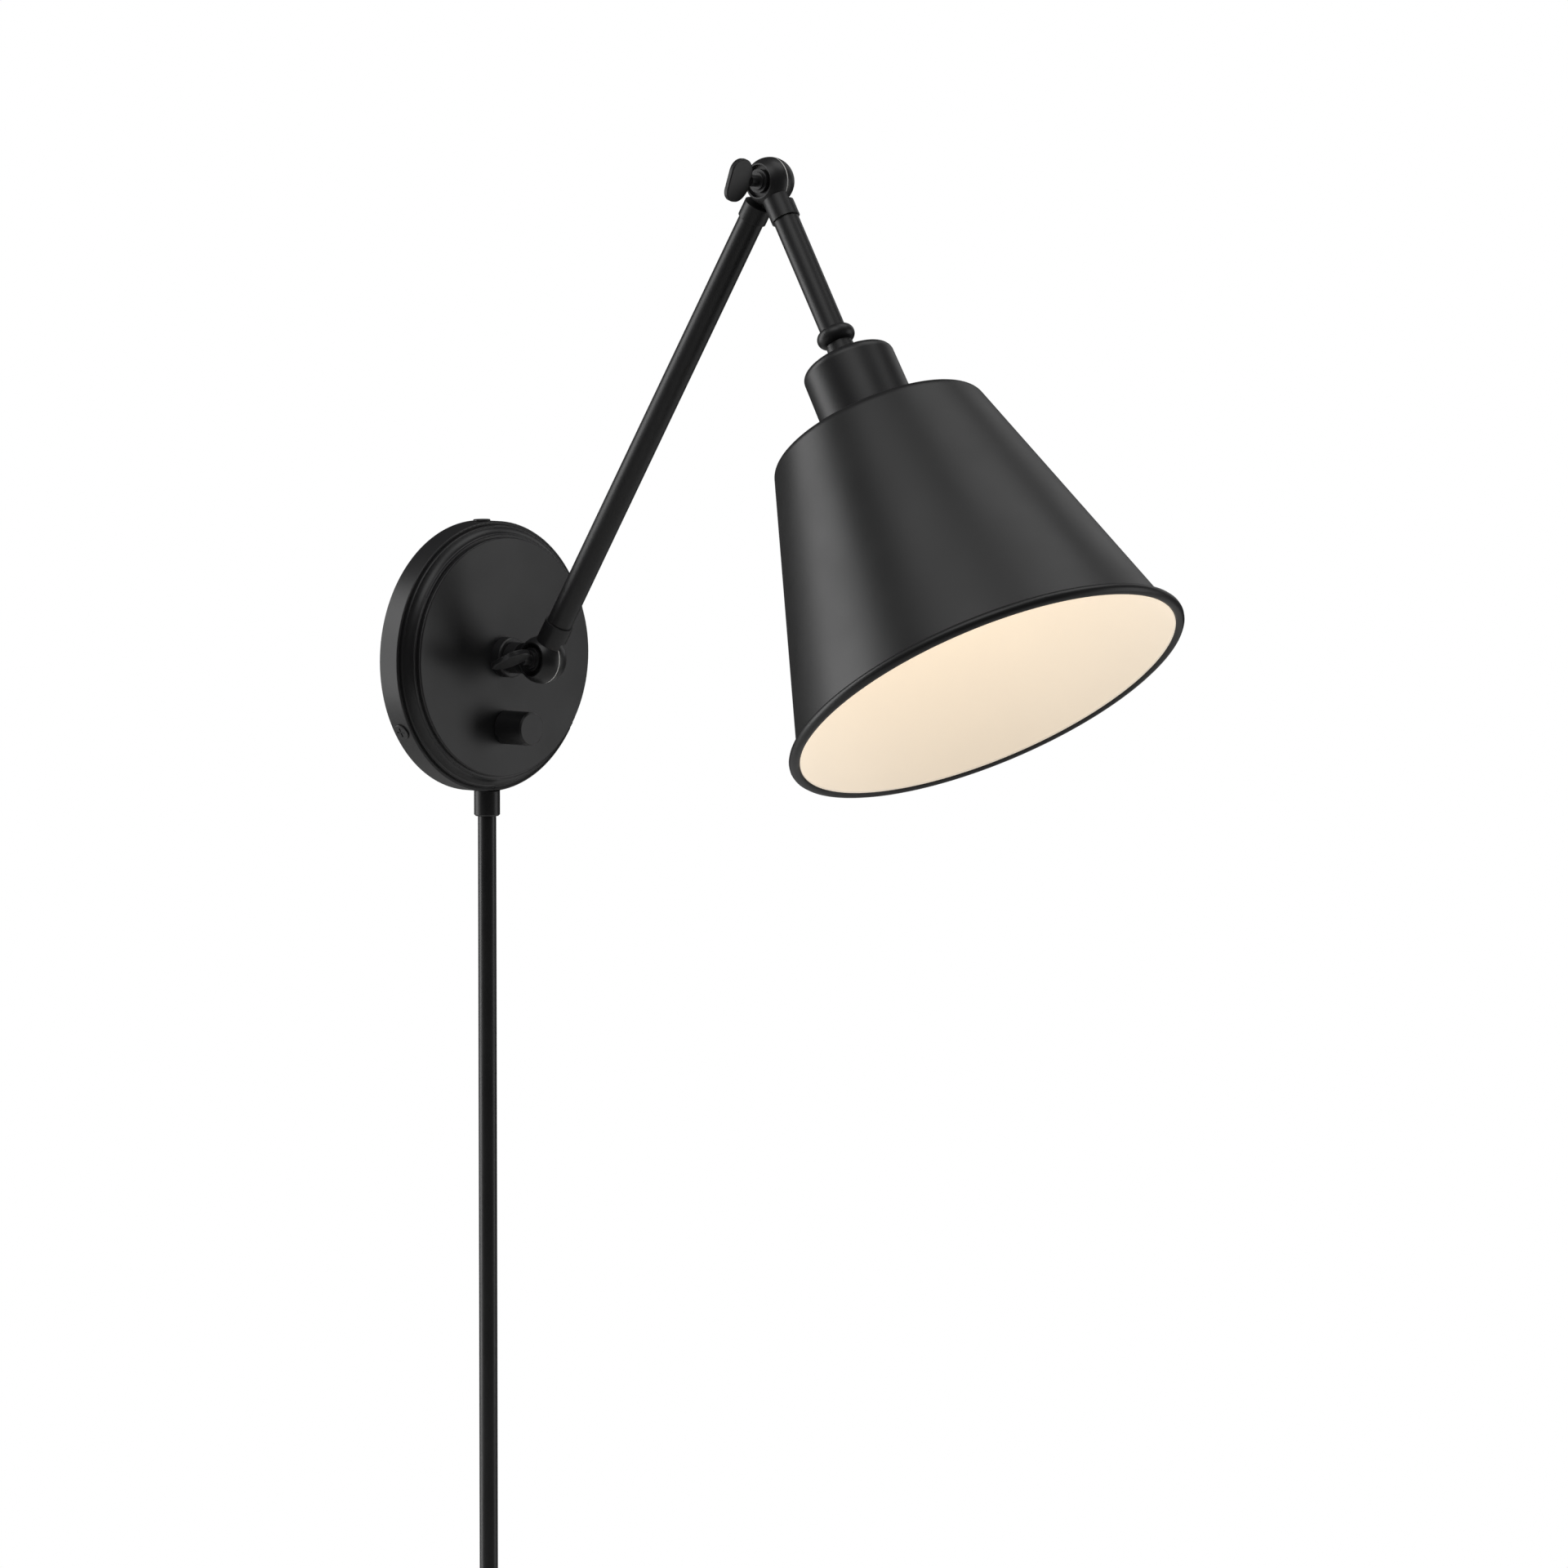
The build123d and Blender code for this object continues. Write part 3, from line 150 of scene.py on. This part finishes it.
# %% Cord curve
BEVEL_DEPTH = 1.0
BEVEL_STEPS = 6
SPLINE_ORDER = 3
SPLINE_STEPS = 8

cord_curve = bpy.data.curves.new("power_cord", "CURVE")
cord_curve.dimensions = "3D"
cord_curve.bevel_depth = BEVEL_DEPTH
cord_curve.bevel_resolution = BEVEL_STEPS
cord_curve.use_fill_caps = True
spline = cord_curve.splines.new("NURBS")
spline.points.add(len(cord_route) - 1)
for point, place in zip(spline.points, cord_route):
    point.co = (*place, 1)
    point.radius = CORD_RADIUS
spline.order_u = SPLINE_ORDER
spline.use_endpoint_u = True
spline.resolution_u = SPLINE_STEPS
power_cord = bpy.data.objects.new("power_cord", cord_curve)
scene.collection.objects.link(power_cord)
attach(power_cord, "wall_plate")
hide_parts("cord", "cord_coil", "cord_tail")
print("cord control points:", len(cord_route))

# %% [markdown]
# ## Shared effects
#
# Several finishes share the same small effects: the fine skin of sprayed paint, a painted
# highlight along the edges and the lines of brushed metal. Each is a node group, built once and
# placed in every material that needs it with its own values. A group puts out masks, values
# and normals only; the shader itself stays in the material.


# %% Group helper
def new_group(name, inputs, outputs):
    """Node group with float inputs (name: value) and named outputs (name: socket type)."""
    group = bpy.data.node_groups.new(name, "ShaderNodeTree")
    for label, value in inputs.items():
        socket = group.interface.new_socket(label, in_out="INPUT", socket_type="NodeSocketFloat")
        socket.default_value = value
    for label, kind in outputs.items():
        group.interface.new_socket(label, in_out="OUTPUT", socket_type=kind)
    return group, group.nodes.new("NodeGroupInput"), group.nodes.new("NodeGroupOutput")


def noise_at(tree, scale, detail):
    """Noise texture in the object's own metres; scale is a socket or a number."""
    place = tree.nodes.new("ShaderNodeTexCoord")
    noise = tree.nodes.new("ShaderNodeTexNoise")
    noise.inputs["Detail"].default_value = detail
    tree.links.new(place.outputs["Object"], noise.inputs["Vector"])
    if isinstance(scale, bpy.types.NodeSocket):
        tree.links.new(scale, noise.inputs["Scale"])
    else:
        noise.inputs["Scale"].default_value = scale
    return noise.outputs["Fac"]


def remapped(tree, value, low, high, to_low, to_high):
    """Map a value from one range to another; the new limits are sockets or numbers."""
    node = tree.nodes.new("ShaderNodeMapRange")
    tree.links.new(value, node.inputs["Value"])
    for label, limit in (("From Min", low), ("From Max", high), ("To Min", to_low), ("To Max", to_high)):
        if isinstance(limit, bpy.types.NodeSocket):
            tree.links.new(limit, node.inputs[label])
        else:
            node.inputs[label].default_value = limit
    return node.outputs["Result"]


# %% Group: sprayed skin
CLOUD_SCALE = 22.0
FINE_DETAIL = 2.0
CLOUD_DETAIL = 3.0
NOISE_LOW = 0.3
NOISE_HIGH = 0.7


def make_sprayed_skin():
    """Fine pebbled height, and slow changes of tone and roughness, as sprayed paint has."""
    group, given, result = new_group(
        "sprayed_skin",
        {"Pebble Scale": 1600.0, "Smoothest": 0.36, "Roughest": 0.46},
        {"Tone": "NodeSocketFloat", "Roughness": "NodeSocketFloat", "Height": "NodeSocketFloat"},
    )
    pebbles = noise_at(group, given.outputs["Pebble Scale"], FINE_DETAIL)
    clouds = noise_at(group, CLOUD_SCALE, CLOUD_DETAIL)
    rough = remapped(
        group, clouds, NOISE_LOW, NOISE_HIGH, given.outputs["Smoothest"], given.outputs["Roughest"]
    )
    group.links.new(clouds, result.inputs["Tone"])
    group.links.new(rough, result.inputs["Roughness"])
    group.links.new(pebbles, result.inputs["Height"])
    return group


sprayed_skin = make_sprayed_skin()
print("group made:", sprayed_skin.name)

# %% Group: soft edge
EDGE_SAMPLES = 4
EDGE_FLAT = 1.0
EDGE_SHARP = 0.9


def make_edge_highlight():
    """Mask and normal along edges, from the difference between true and rounded normals; the mask paints a
    highlight, a lighter colour along edges.
    """
    group, given, result = new_group(
        "edge_highlight",
        {"Radius": 0.0005},
        {"Mask": "NodeSocketFloat", "Normal": "NodeSocketVector"},
    )
    rounded = group.nodes.new("ShaderNodeBevel")
    rounded.samples = EDGE_SAMPLES
    geometry = group.nodes.new("ShaderNodeNewGeometry")
    match = group.nodes.new("ShaderNodeVectorMath")
    match.operation = "DOT_PRODUCT"
    group.links.new(given.outputs["Radius"], rounded.inputs["Radius"])
    group.links.new(rounded.outputs["Normal"], match.inputs[0])
    group.links.new(geometry.outputs["Normal"], match.inputs[1])
    # This mask marks where the painted edge highlight goes.
    mask = remapped(group, match.outputs["Value"], EDGE_FLAT, EDGE_SHARP, 0.0, 1.0)
    group.links.new(mask, result.inputs["Mask"])
    group.links.new(rounded.outputs["Normal"], result.inputs["Normal"])
    return group


edge_highlight = make_edge_highlight()
print("group made:", edge_highlight.name)

# %% Group: brushed lines
STRETCH = 40.0


def make_brushed_lines():
    """Long thin scratches along the Y axis of the piece, as a polishing belt leaves."""
    group, given, result = new_group(
        "brushed_lines",
        {"Line Scale": 900.0, "Smoothest": 0.22, "Roughest": 0.42},
        {"Roughness": "NodeSocketFloat", "Height": "NodeSocketFloat", "Tone": "NodeSocketFloat"},
    )
    place = group.nodes.new("ShaderNodeTexCoord")
    stretch = group.nodes.new("ShaderNodeMapping")
    stretch.inputs["Scale"].default_value = (1.0, 1.0 / STRETCH, 1.0)
    noise = group.nodes.new("ShaderNodeTexNoise")
    group.links.new(place.outputs["Object"], stretch.inputs["Vector"])
    group.links.new(stretch.outputs["Vector"], noise.inputs["Vector"])
    group.links.new(given.outputs["Line Scale"], noise.inputs["Scale"])
    lines = noise.outputs["Fac"]
    rough = remapped(
        group, lines, NOISE_LOW, NOISE_HIGH, given.outputs["Smoothest"], given.outputs["Roughest"]
    )
    group.links.new(rough, result.inputs["Roughness"])
    group.links.new(lines, result.inputs["Height"])
    group.links.new(lines, result.inputs["Tone"])
    return group


brushed_lines = make_brushed_lines()
print("group made:", brushed_lines.name)

# %% [markdown]
# ## Finishes
#
# Every material is a Principled shader fed by the groups above. The paint is nearly black,
# but not flat: it has a pebbled skin under a millimetre across, slow changes of gloss, and
# a painted highlight: its edges are coloured lighter.


# %% Material helpers
FIRST_COLOUR = 6
SECOND_COLOUR = 7
MIXED_COLOUR = 2


def new_material(name):
    """Material with a Principled shader; gives the material, its tree and the shader."""
    material = bpy.data.materials.new(name)
    material.use_nodes = True
    tree = material.node_tree
    return material, tree, tree.nodes["Principled BSDF"]


def place_group(tree, group, **values):
    """Put a group in a material and set its inputs by name."""
    node = tree.nodes.new("ShaderNodeGroup")
    node.node_tree = group
    for label, value in values.items():
        node.inputs[label.replace("_", " ")].default_value = value
    return node


def blend_colours(tree, factor, first, second):
    """Mix two colours, each a socket or a fixed colour, by a mask."""
    mix = tree.nodes.new("ShaderNodeMix")
    mix.data_type = "RGBA"
    tree.links.new(factor, mix.inputs["Factor"])
    for socket, colour in ((mix.inputs[FIRST_COLOUR], first), (mix.inputs[SECOND_COLOUR], second)):
        if isinstance(colour, bpy.types.NodeSocket):
            tree.links.new(colour, socket)
        else:
            socket.default_value = (*colour, 1)
    return mix.outputs[MIXED_COLOUR]


def add_bump(tree, shader, height, distance, normal):
    """Feed a height over a normal to the shader through a Bump node at full strength."""
    bump = tree.nodes.new("ShaderNodeBump")
    bump.inputs["Distance"].default_value = distance
    bump.inputs["Strength"].default_value = 1.0
    tree.links.new(height, bump.inputs["Height"])
    tree.links.new(normal, bump.inputs["Normal"])
    tree.links.new(bump.outputs["Normal"], shader.inputs["Normal"])


# %% Coated finishes: paint, plastic and rubber
# Widths of the edge mask that paints a highlight, a lighter colour along edges.
EDGE_HIGHLIGHT_RADIUS = 0.0005
CRISP_EDGE = 0.00025


def coated(name, dark, light, highlight_colour, smoothest, roughest, pebble_scale, pebble_depth, edge_radius=EDGE_HIGHLIGHT_RADIUS):
    """Sprayed or moulded surface with a pebbled skin and a painted highlight: lighter colour on edges."""
    material, tree, shader = new_material(name)
    skin = place_group(
        tree, sprayed_skin, Pebble_Scale=pebble_scale, Smoothest=smoothest, Roughest=roughest
    )
    rim = place_group(tree, edge_highlight, Radius=edge_radius)
    body = blend_colours(tree, skin.outputs["Tone"], dark, light)
    # Painted highlight: the edges take the lighter highlight colour.
    tree.links.new(blend_colours(tree, rim.outputs["Mask"], body, highlight_colour), shader.inputs["Base Color"])
    tree.links.new(skin.outputs["Roughness"], shader.inputs["Roughness"])
    add_bump(tree, shader, skin.outputs["Height"], pebble_depth, rim.outputs["Normal"])
    return material


# The third colour of each finish below is its painted edge highlight.
black_paint = coated(
    "satin_black_paint", (0.014, 0.014, 0.015), (0.022, 0.022, 0.023), (0.04, 0.04, 0.041),
    smoothest=0.36, roughest=0.44, pebble_scale=1400.0, pebble_depth=0.000006, edge_radius=CRISP_EDGE,
)
shade_paint = coated(
    "satin_black_shade", (0.016, 0.016, 0.0165), (0.022, 0.022, 0.0225), (0.035, 0.035, 0.036),
    smoothest=0.36, roughest=0.43, pebble_scale=1300.0, pebble_depth=0.000005,
)
jacket = coated(
    "cord_jacket", (0.015, 0.015, 0.0155), (0.023, 0.023, 0.0235), (0.025, 0.025, 0.025),
    smoothest=0.32, roughest=0.40, pebble_scale=900.0, pebble_depth=0.000004,
)
black_plastic = coated(
    "moulded_black", (0.012, 0.012, 0.012), (0.02, 0.02, 0.02), (0.035, 0.035, 0.035),
    smoothest=0.45, roughest=0.6, pebble_scale=1100.0, pebble_depth=0.00001,
)
nylon = coated(
    "natural_nylon", (0.84, 0.83, 0.80), (0.9, 0.89, 0.86), (0.92, 0.91, 0.88),
    smoothest=0.4, roughest=0.5, pebble_scale=1100.0, pebble_depth=0.000006,
)
insulator = coated(
    "glazed_insulator", (0.66, 0.63, 0.56), (0.76, 0.73, 0.67), (0.82, 0.8, 0.75),
    smoothest=0.25, roughest=0.36, pebble_scale=500.0, pebble_depth=0.000006,
)
lead_black = coated(
    "lead_black", (0.012, 0.012, 0.012), (0.02, 0.02, 0.02), (0.03, 0.03, 0.03),
    smoothest=0.35, roughest=0.5, pebble_scale=1500.0, pebble_depth=0.000004,
)
lead_white = coated(
    "lead_white", (0.66, 0.66, 0.64), (0.76, 0.76, 0.74), (0.8, 0.8, 0.78),
    smoothest=0.35, roughest=0.5, pebble_scale=1500.0, pebble_depth=0.000004,
)
wire_nut_orange = coated(
    "wire_nut_orange", (0.55, 0.13, 0.012), (0.68, 0.19, 0.02), (0.75, 0.28, 0.06),
    smoothest=0.35, roughest=0.5, pebble_scale=900.0, pebble_depth=0.00001,
)
print("paints:", black_paint.name, shade_paint.name)

# %% Bare metals
# Width of the edge mask that paints a highlight on bare metal.
METAL_HIGHLIGHT_RADIUS = 0.0003


def bare_metal(name, dark, light, smoothest, roughest, line_scale, line_depth):
    """Brushed metal: fully metallic, with fine lines and rounded edges, which are also coloured light as a
    painted highlight.
    """
    material, tree, shader = new_material(name)
    lines = place_group(tree, brushed_lines, Line_Scale=line_scale, Smoothest=smoothest, Roughest=roughest)
    rim = place_group(tree, edge_highlight, Radius=METAL_HIGHLIGHT_RADIUS)
    body = blend_colours(tree, lines.outputs["Tone"], dark, light)
    # Painted highlight: rounded edges take the light colour.
    tree.links.new(blend_colours(tree, rim.outputs["Mask"], body, light), shader.inputs["Base Color"])
    tree.links.new(lines.outputs["Roughness"], shader.inputs["Roughness"])
    shader.inputs["Metallic"].default_value = 1.0
    add_bump(tree, shader, lines.outputs["Height"], line_depth, rim.outputs["Normal"])
    return material


zinc = bare_metal("zinc_plate", (0.34, 0.345, 0.35), (0.48, 0.485, 0.49), 0.42, 0.58, 700.0, 0.000004)
brass = bare_metal("plain_brass", (0.5, 0.35, 0.12), (0.72, 0.53, 0.22), 0.22, 0.38, 900.0, 0.000003)
green_zinc = bare_metal("green_screw", (0.03, 0.2, 0.06), (0.07, 0.32, 0.11), 0.3, 0.45, 700.0, 0.000004)
bulb_metal = bare_metal("bulb_base", (0.6, 0.6, 0.6), (0.75, 0.75, 0.75), 0.2, 0.35, 900.0, 0.000003)
print("bare metals:", [metal.name for metal in (zinc, brass, green_zinc, bulb_metal)])

# %% [markdown]
# ## The lit bulb and the inside of the shade
#
# The lamp is on. The bulb could be a light object, but an opal bulb is itself the source, so
# its glass glows: a warm white emission, mottled a little by the frosting. The inside of the
# shade is warm white enamel, which throws that light around and out of the mouth. The light
# bounces there more often than is traced, so the enamel has a faint glow of its own.

# %% Bulb glass and enamel
GLASS_COLOUR = (0.9, 0.87, 0.8)
GLOW_STRENGTH = 0.9
GLOW_COLOUR = (1.0, 0.80, 0.58)
GLOW_EDGE = (1.0, 0.74, 0.48)
ENAMEL_PAINTED_GLOW = 0.35
ENAMEL_GLOW_COLOUR = (1.0, 0.875, 0.72)


def opal_glass():
    """Opal glass that glows, mottled a little as frosting is."""
    material, tree, shader = new_material("opal_glass")
    skin = place_group(tree, sprayed_skin, Pebble_Scale=700.0, Smoothest=0.3, Roughest=0.42)
    glow = blend_colours(tree, skin.outputs["Tone"], GLOW_EDGE, GLOW_COLOUR)
    shader.inputs["Base Color"].default_value = (*GLASS_COLOUR, 1)
    tree.links.new(glow, shader.inputs["Emission Color"])
    shader.inputs["Emission Strength"].default_value = GLOW_STRENGTH
    tree.links.new(skin.outputs["Roughness"], shader.inputs["Roughness"])
    return material


opal = opal_glass()
enamel = coated(
    "warm_white_enamel", (0.80, 0.77, 0.72), (0.86, 0.83, 0.78), (0.88, 0.86, 0.82),
    smoothest=0.42, roughest=0.52, pebble_scale=900.0, pebble_depth=0.000006,
)
# Painted light: the enamel glows, standing in for light bounced inside the shade.
enamel_shader = enamel.node_tree.nodes["Principled BSDF"]
enamel_shader.inputs["Emission Color"].default_value = (*ENAMEL_GLOW_COLOUR, 1)
enamel_shader.inputs["Emission Strength"].default_value = ENAMEL_PAINTED_GLOW
print("bulb and enamel glow:", GLOW_STRENGTH, ENAMEL_PAINTED_GLOW)

# %% [markdown]
# ## The shade
#
# The real shade is spun from thin sheet: black outside, white inside, its edge rolled into a
# bead. One solid can carry only one finish, so the shade is drawn again here as a turned
# skin over the same outline, and its faces are given the outside or the inside paint.

# %% Turned skin
TURN_STEPS = 160
SHARP_ANGLE = radians(40)
UPPER_LEAN = radians(32.3)
OUT = Vector((0, -1, 0))

elbow_joint = next(joint for joint in frame["joints"] if joint["name"] == "upper_arm_tilt")
elbow = Vector(elbow_joint["pos_m"])
hinge = Vector(elbow_joint["axis"])
upper_axis = OUT * sin(UPPER_LEAN) - OUT.cross(hinge) * cos(UPPER_LEAN)


def turned_skin(name, outline, paints, origin, along, across):
    """Closed turned mesh; outline is (radius, distance, paint) with the paint of the next face."""
    third = along.cross(across)
    points = []
    for step in range(TURN_STEPS):
        angle = 2 * pi * step / TURN_STEPS
        out = across * cos(angle) + third * sin(angle)
        points += [origin + along * distance + out * radius for radius, distance, paint in outline]
    count = len(outline)
    faces = []
    slots = []
    for step in range(TURN_STEPS):
        here = step * count
        there = (step + 1) % TURN_STEPS * count
        for index, (radius, distance, paint) in enumerate(outline):
            after = (index + 1) % count
            faces.append((here + index, there + index, there + after, here + after))
            slots.append(paint)
    mesh = bpy.data.meshes.new(name)
    mesh.from_pydata(points, [], faces)
    for paint in paints:
        mesh.materials.append(paint)
    mesh.polygons.foreach_set("material_index", slots)
    mesh.shade_smooth()
    mesh.set_sharp_from_angle(angle=SHARP_ANGLE)
    mesh.update()
    piece = bpy.data.objects.new(name, mesh)
    scene.collection.objects.link(piece)
    return piece


def arc(centre, radius, start, end, steps):
    """Points on an arc in the outline, angles measured from the radius towards the axis."""
    turn = (end - start) / steps
    return [
        (centre[0] + radius * cos(start + turn * step), centre[1] + radius * sin(start + turn * step))
        for step in range(steps + 1)
    ]


# %% Shade outline
SHADE_TOP = 0.1414
SHADE_RIM = 0.2845
SHADE_TOP_RADIUS = 0.0532
SHADE_RIM_RADIUS = 0.0969
SHADE_HOLE_RADIUS = 0.0199
SHADE_WALL = 0.001
SHADE_ROUND = 0.006
BEAD_RADIUS = 0.0027
BEAD_OFFSET = 0.0016
ROUND_STEPS = 8
BEAD_STEPS = 12
BEAD_PAINT_END = radians(147)
OUTSIDE = 0
INSIDE = 1

slope = atan2(SHADE_RIM_RADIUS - SHADE_TOP_RADIUS, SHADE_RIM - SHADE_TOP)
side = Vector((sin(slope), cos(slope)))
outward = Vector((cos(slope), -sin(slope)))
rim_corner = Vector((SHADE_RIM_RADIUS, SHADE_RIM))
bead_centre = rim_corner + Vector((BEAD_OFFSET, 0))


def shoulder_arc(top, radius, wall):
    """Rounded shoulder between the flat top and the slanted side, one wall in from outside."""
    inner_side = rim_corner - outward * (wall + radius)
    along = (top + radius - inner_side.y) / side.y
    centre = inner_side + side * along
    return arc(centre, radius, -pi / 2, -slope, ROUND_STEPS)


outer_shoulder = shoulder_arc(SHADE_TOP, SHADE_ROUND, 0)
inner_shoulder = shoulder_arc(SHADE_TOP + SHADE_WALL, SHADE_ROUND - SHADE_WALL, SHADE_WALL)
outside_reach = BEAD_OFFSET * cos(slope)
bead_start = acos(outside_reach / BEAD_RADIUS) - pi - slope
bead_end = acos((outside_reach + SHADE_WALL) / BEAD_RADIUS) + pi - slope
black_bead = arc(bead_centre, BEAD_RADIUS, bead_start, BEAD_PAINT_END, BEAD_STEPS)
white_bead = arc(bead_centre, BEAD_RADIUS, BEAD_PAINT_END, bead_end, BEAD_STEPS)
shade_outline = [(SHADE_HOLE_RADIUS, SHADE_TOP, OUTSIDE)]
shade_outline += [(*point, OUTSIDE) for point in outer_shoulder + black_bead[:-1]]
shade_outline += [(*point, INSIDE) for point in white_bead + inner_shoulder[::-1]]
shade_outline.append((SHADE_HOLE_RADIUS, SHADE_TOP + SHADE_WALL, INSIDE))

shade_skin = turned_skin("shade_skin", shade_outline, [shade_paint, enamel], elbow, upper_axis, hinge)
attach(shade_skin, "upper_arm")
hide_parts("shade")
print("shade outline points:", len(shade_outline))

# %% [markdown]
# ## Finishes on the solids
#
# The other solids keep the shapes that they have in the frame. What they need is the right
# finish, so a table of node names says which material each of them wears.

# %% Dress the solids
FINISHES = {
    black_paint: (
        "backplate side_screws stem_boss cord_gland wall_knuckle lower_knuckle lower_tube elbow_yoke "
        "lower_key elbow_knuckle upper_tube bead_ring cup_neck socket_cup upper_key knob"
    ),
    zinc: "mounting_plate boss_nut switch_nut stem_washer stem_nut cup_nut knob_screw",
    brass: "plug_prongs socket_shell socket_contact switch_shaft",
    green_zinc: "ground_screw",
    bulb_metal: "bulb_base",
    black_plastic: "switch_body gland_nut cord_tie plug_relief plug_body",
    nylon: "lower_washer elbow_washer",
    insulator: "socket_body shade_ring",
    lead_black: "hot_lead arm_hot_lead lower_cable upper_cable",
    lead_white: "neutral_lead arm_neutral_lead",
    wire_nut_orange: "wire_nut",
    opal: "bulb_glass",
}

dressed = 0
for material, names in FINISHES.items():
    for name in names.split():
        mesh = nodes[name].data
        mesh.materials.clear()
        mesh.materials.append(material)
        dressed += 1
power_cord.data.materials.append(jacket)
print("solids dressed:", dressed)

# %% [markdown]
# ## The set
#
# A black object is drawn by what it reflects. Even light from all around would make it grey,
# so the surroundings are nearly dark and soft boxes draw the shapes: a tall one behind on the
# left lays the bright edge along the shade and the rim of the plate, two above light the tops
# and the middle of the shade, and two on the right light the face of the plate.

# %% Surroundings
WHITE = (1, 1, 1, 1)
SURROUND = 0.04
BACKDROP = 1.0
OTHER_RAYS = 1
CAMERA_RAYS = 2

world = bpy.data.worlds.new("studio")
scene.world = world
world.use_nodes = True
sky = world.node_tree
sky_light = sky.nodes["Background"]
sky_light.inputs["Color"].default_value = WHITE
sky_light.inputs["Strength"].default_value = SURROUND
sky_seen = sky.nodes.new("ShaderNodeBackground")
sky_seen.inputs["Color"].default_value = WHITE
sky_seen.inputs["Strength"].default_value = BACKDROP
sky_path = sky.nodes.new("ShaderNodeLightPath")
sky_choice = sky.nodes.new("ShaderNodeMixShader")
sky.links.new(sky_path.outputs["Is Camera Ray"], sky_choice.inputs["Fac"])
sky.links.new(sky_light.outputs["Background"], sky_choice.inputs[OTHER_RAYS])
sky.links.new(sky_seen.outputs["Background"], sky_choice.inputs[CAMERA_RAYS])
sky.links.new(sky_choice.outputs["Shader"], sky.nodes["World Output"].inputs["Surface"])
scene.view_settings.view_transform = "Standard"

# %% Soft boxes
TARGET = Vector((0, -0.2, 0.05))
BOX_DISTANCE = 2.2


def soft_box(name, azimuth, elevation, width, height, power):
    """Area light that faces the lamp from an azimuth and elevation in degrees."""
    light = bpy.data.lights.new(name, "AREA")
    light.shape = "RECTANGLE"
    light.size = width
    light.size_y = height
    light.energy = power
    turn, rise = radians(azimuth), radians(elevation)
    away = Vector((sin(turn) * cos(rise), -cos(turn) * cos(rise), sin(rise)))
    holder = bpy.data.objects.new(name, light)
    holder.location = TARGET + away * BOX_DISTANCE
    holder.rotation_mode = "QUATERNION"
    holder.rotation_quaternion = (-away).to_track_quat("-Z", "Y")
    scene.collection.objects.link(holder)
    return holder


SOFT_BOXES = (
    ("back_left_box", -148, 5, 1.2, 2.6, 29.7),
    ("top_left_box", -68, 60, 1.9, 1.4, 14.5),
    ("top_right_box", 60, 65, 1.4, 1.4, 8.8),
    ("right_box", 48, -8, 1.0, 1.8, 7.3),
    ("far_right_box", 100, 20, 1.0, 1.4, 2.4),
)
for values in SOFT_BOXES:
    soft_box(*values)
print("soft boxes:", len(SOFT_BOXES))

# %% Floor
FLOOR_RADIUS = 1.7
FLOOR_DROP = 0.02
FLOOR_SIDES = 96
FLOOR_DARKER = (0.90, 0.90, 0.89)
FLOOR_LIGHTER = (0.94, 0.94, 0.93)


def studio_floor():
    """Pale round floor just below the lowest point of the lamp."""
    material, tree, shader = new_material("pale_floor")
    skin = place_group(tree, sprayed_skin, Pebble_Scale=300.0, Smoothest=0.6, Roughest=0.75)
    tone = blend_colours(tree, skin.outputs["Tone"], FLOOR_DARKER, FLOOR_LIGHTER)
    tree.links.new(tone, shader.inputs["Base Color"])
    tree.links.new(skin.outputs["Roughness"], shader.inputs["Roughness"])
    height = cad_low[2] - FLOOR_DROP
    angles = [2 * pi * step / FLOOR_SIDES for step in range(FLOOR_SIDES)]
    rim = [(FLOOR_RADIUS * cos(angle), FLOOR_RADIUS * sin(angle), height) for angle in angles]
    mesh = bpy.data.meshes.new("floor")
    mesh.from_pydata(rim, [], [list(range(FLOOR_SIDES))])
    mesh.materials.append(material)
    floor = bpy.data.objects.new("floor", mesh)
    scene.collection.objects.link(floor)
    return floor


studio_floor()

# %% [markdown]
# ## The end
#
# The looks must not change the lamp's size; the last cell brings the view layer up to date.

# %% Finish
bpy.context.view_layer.update()
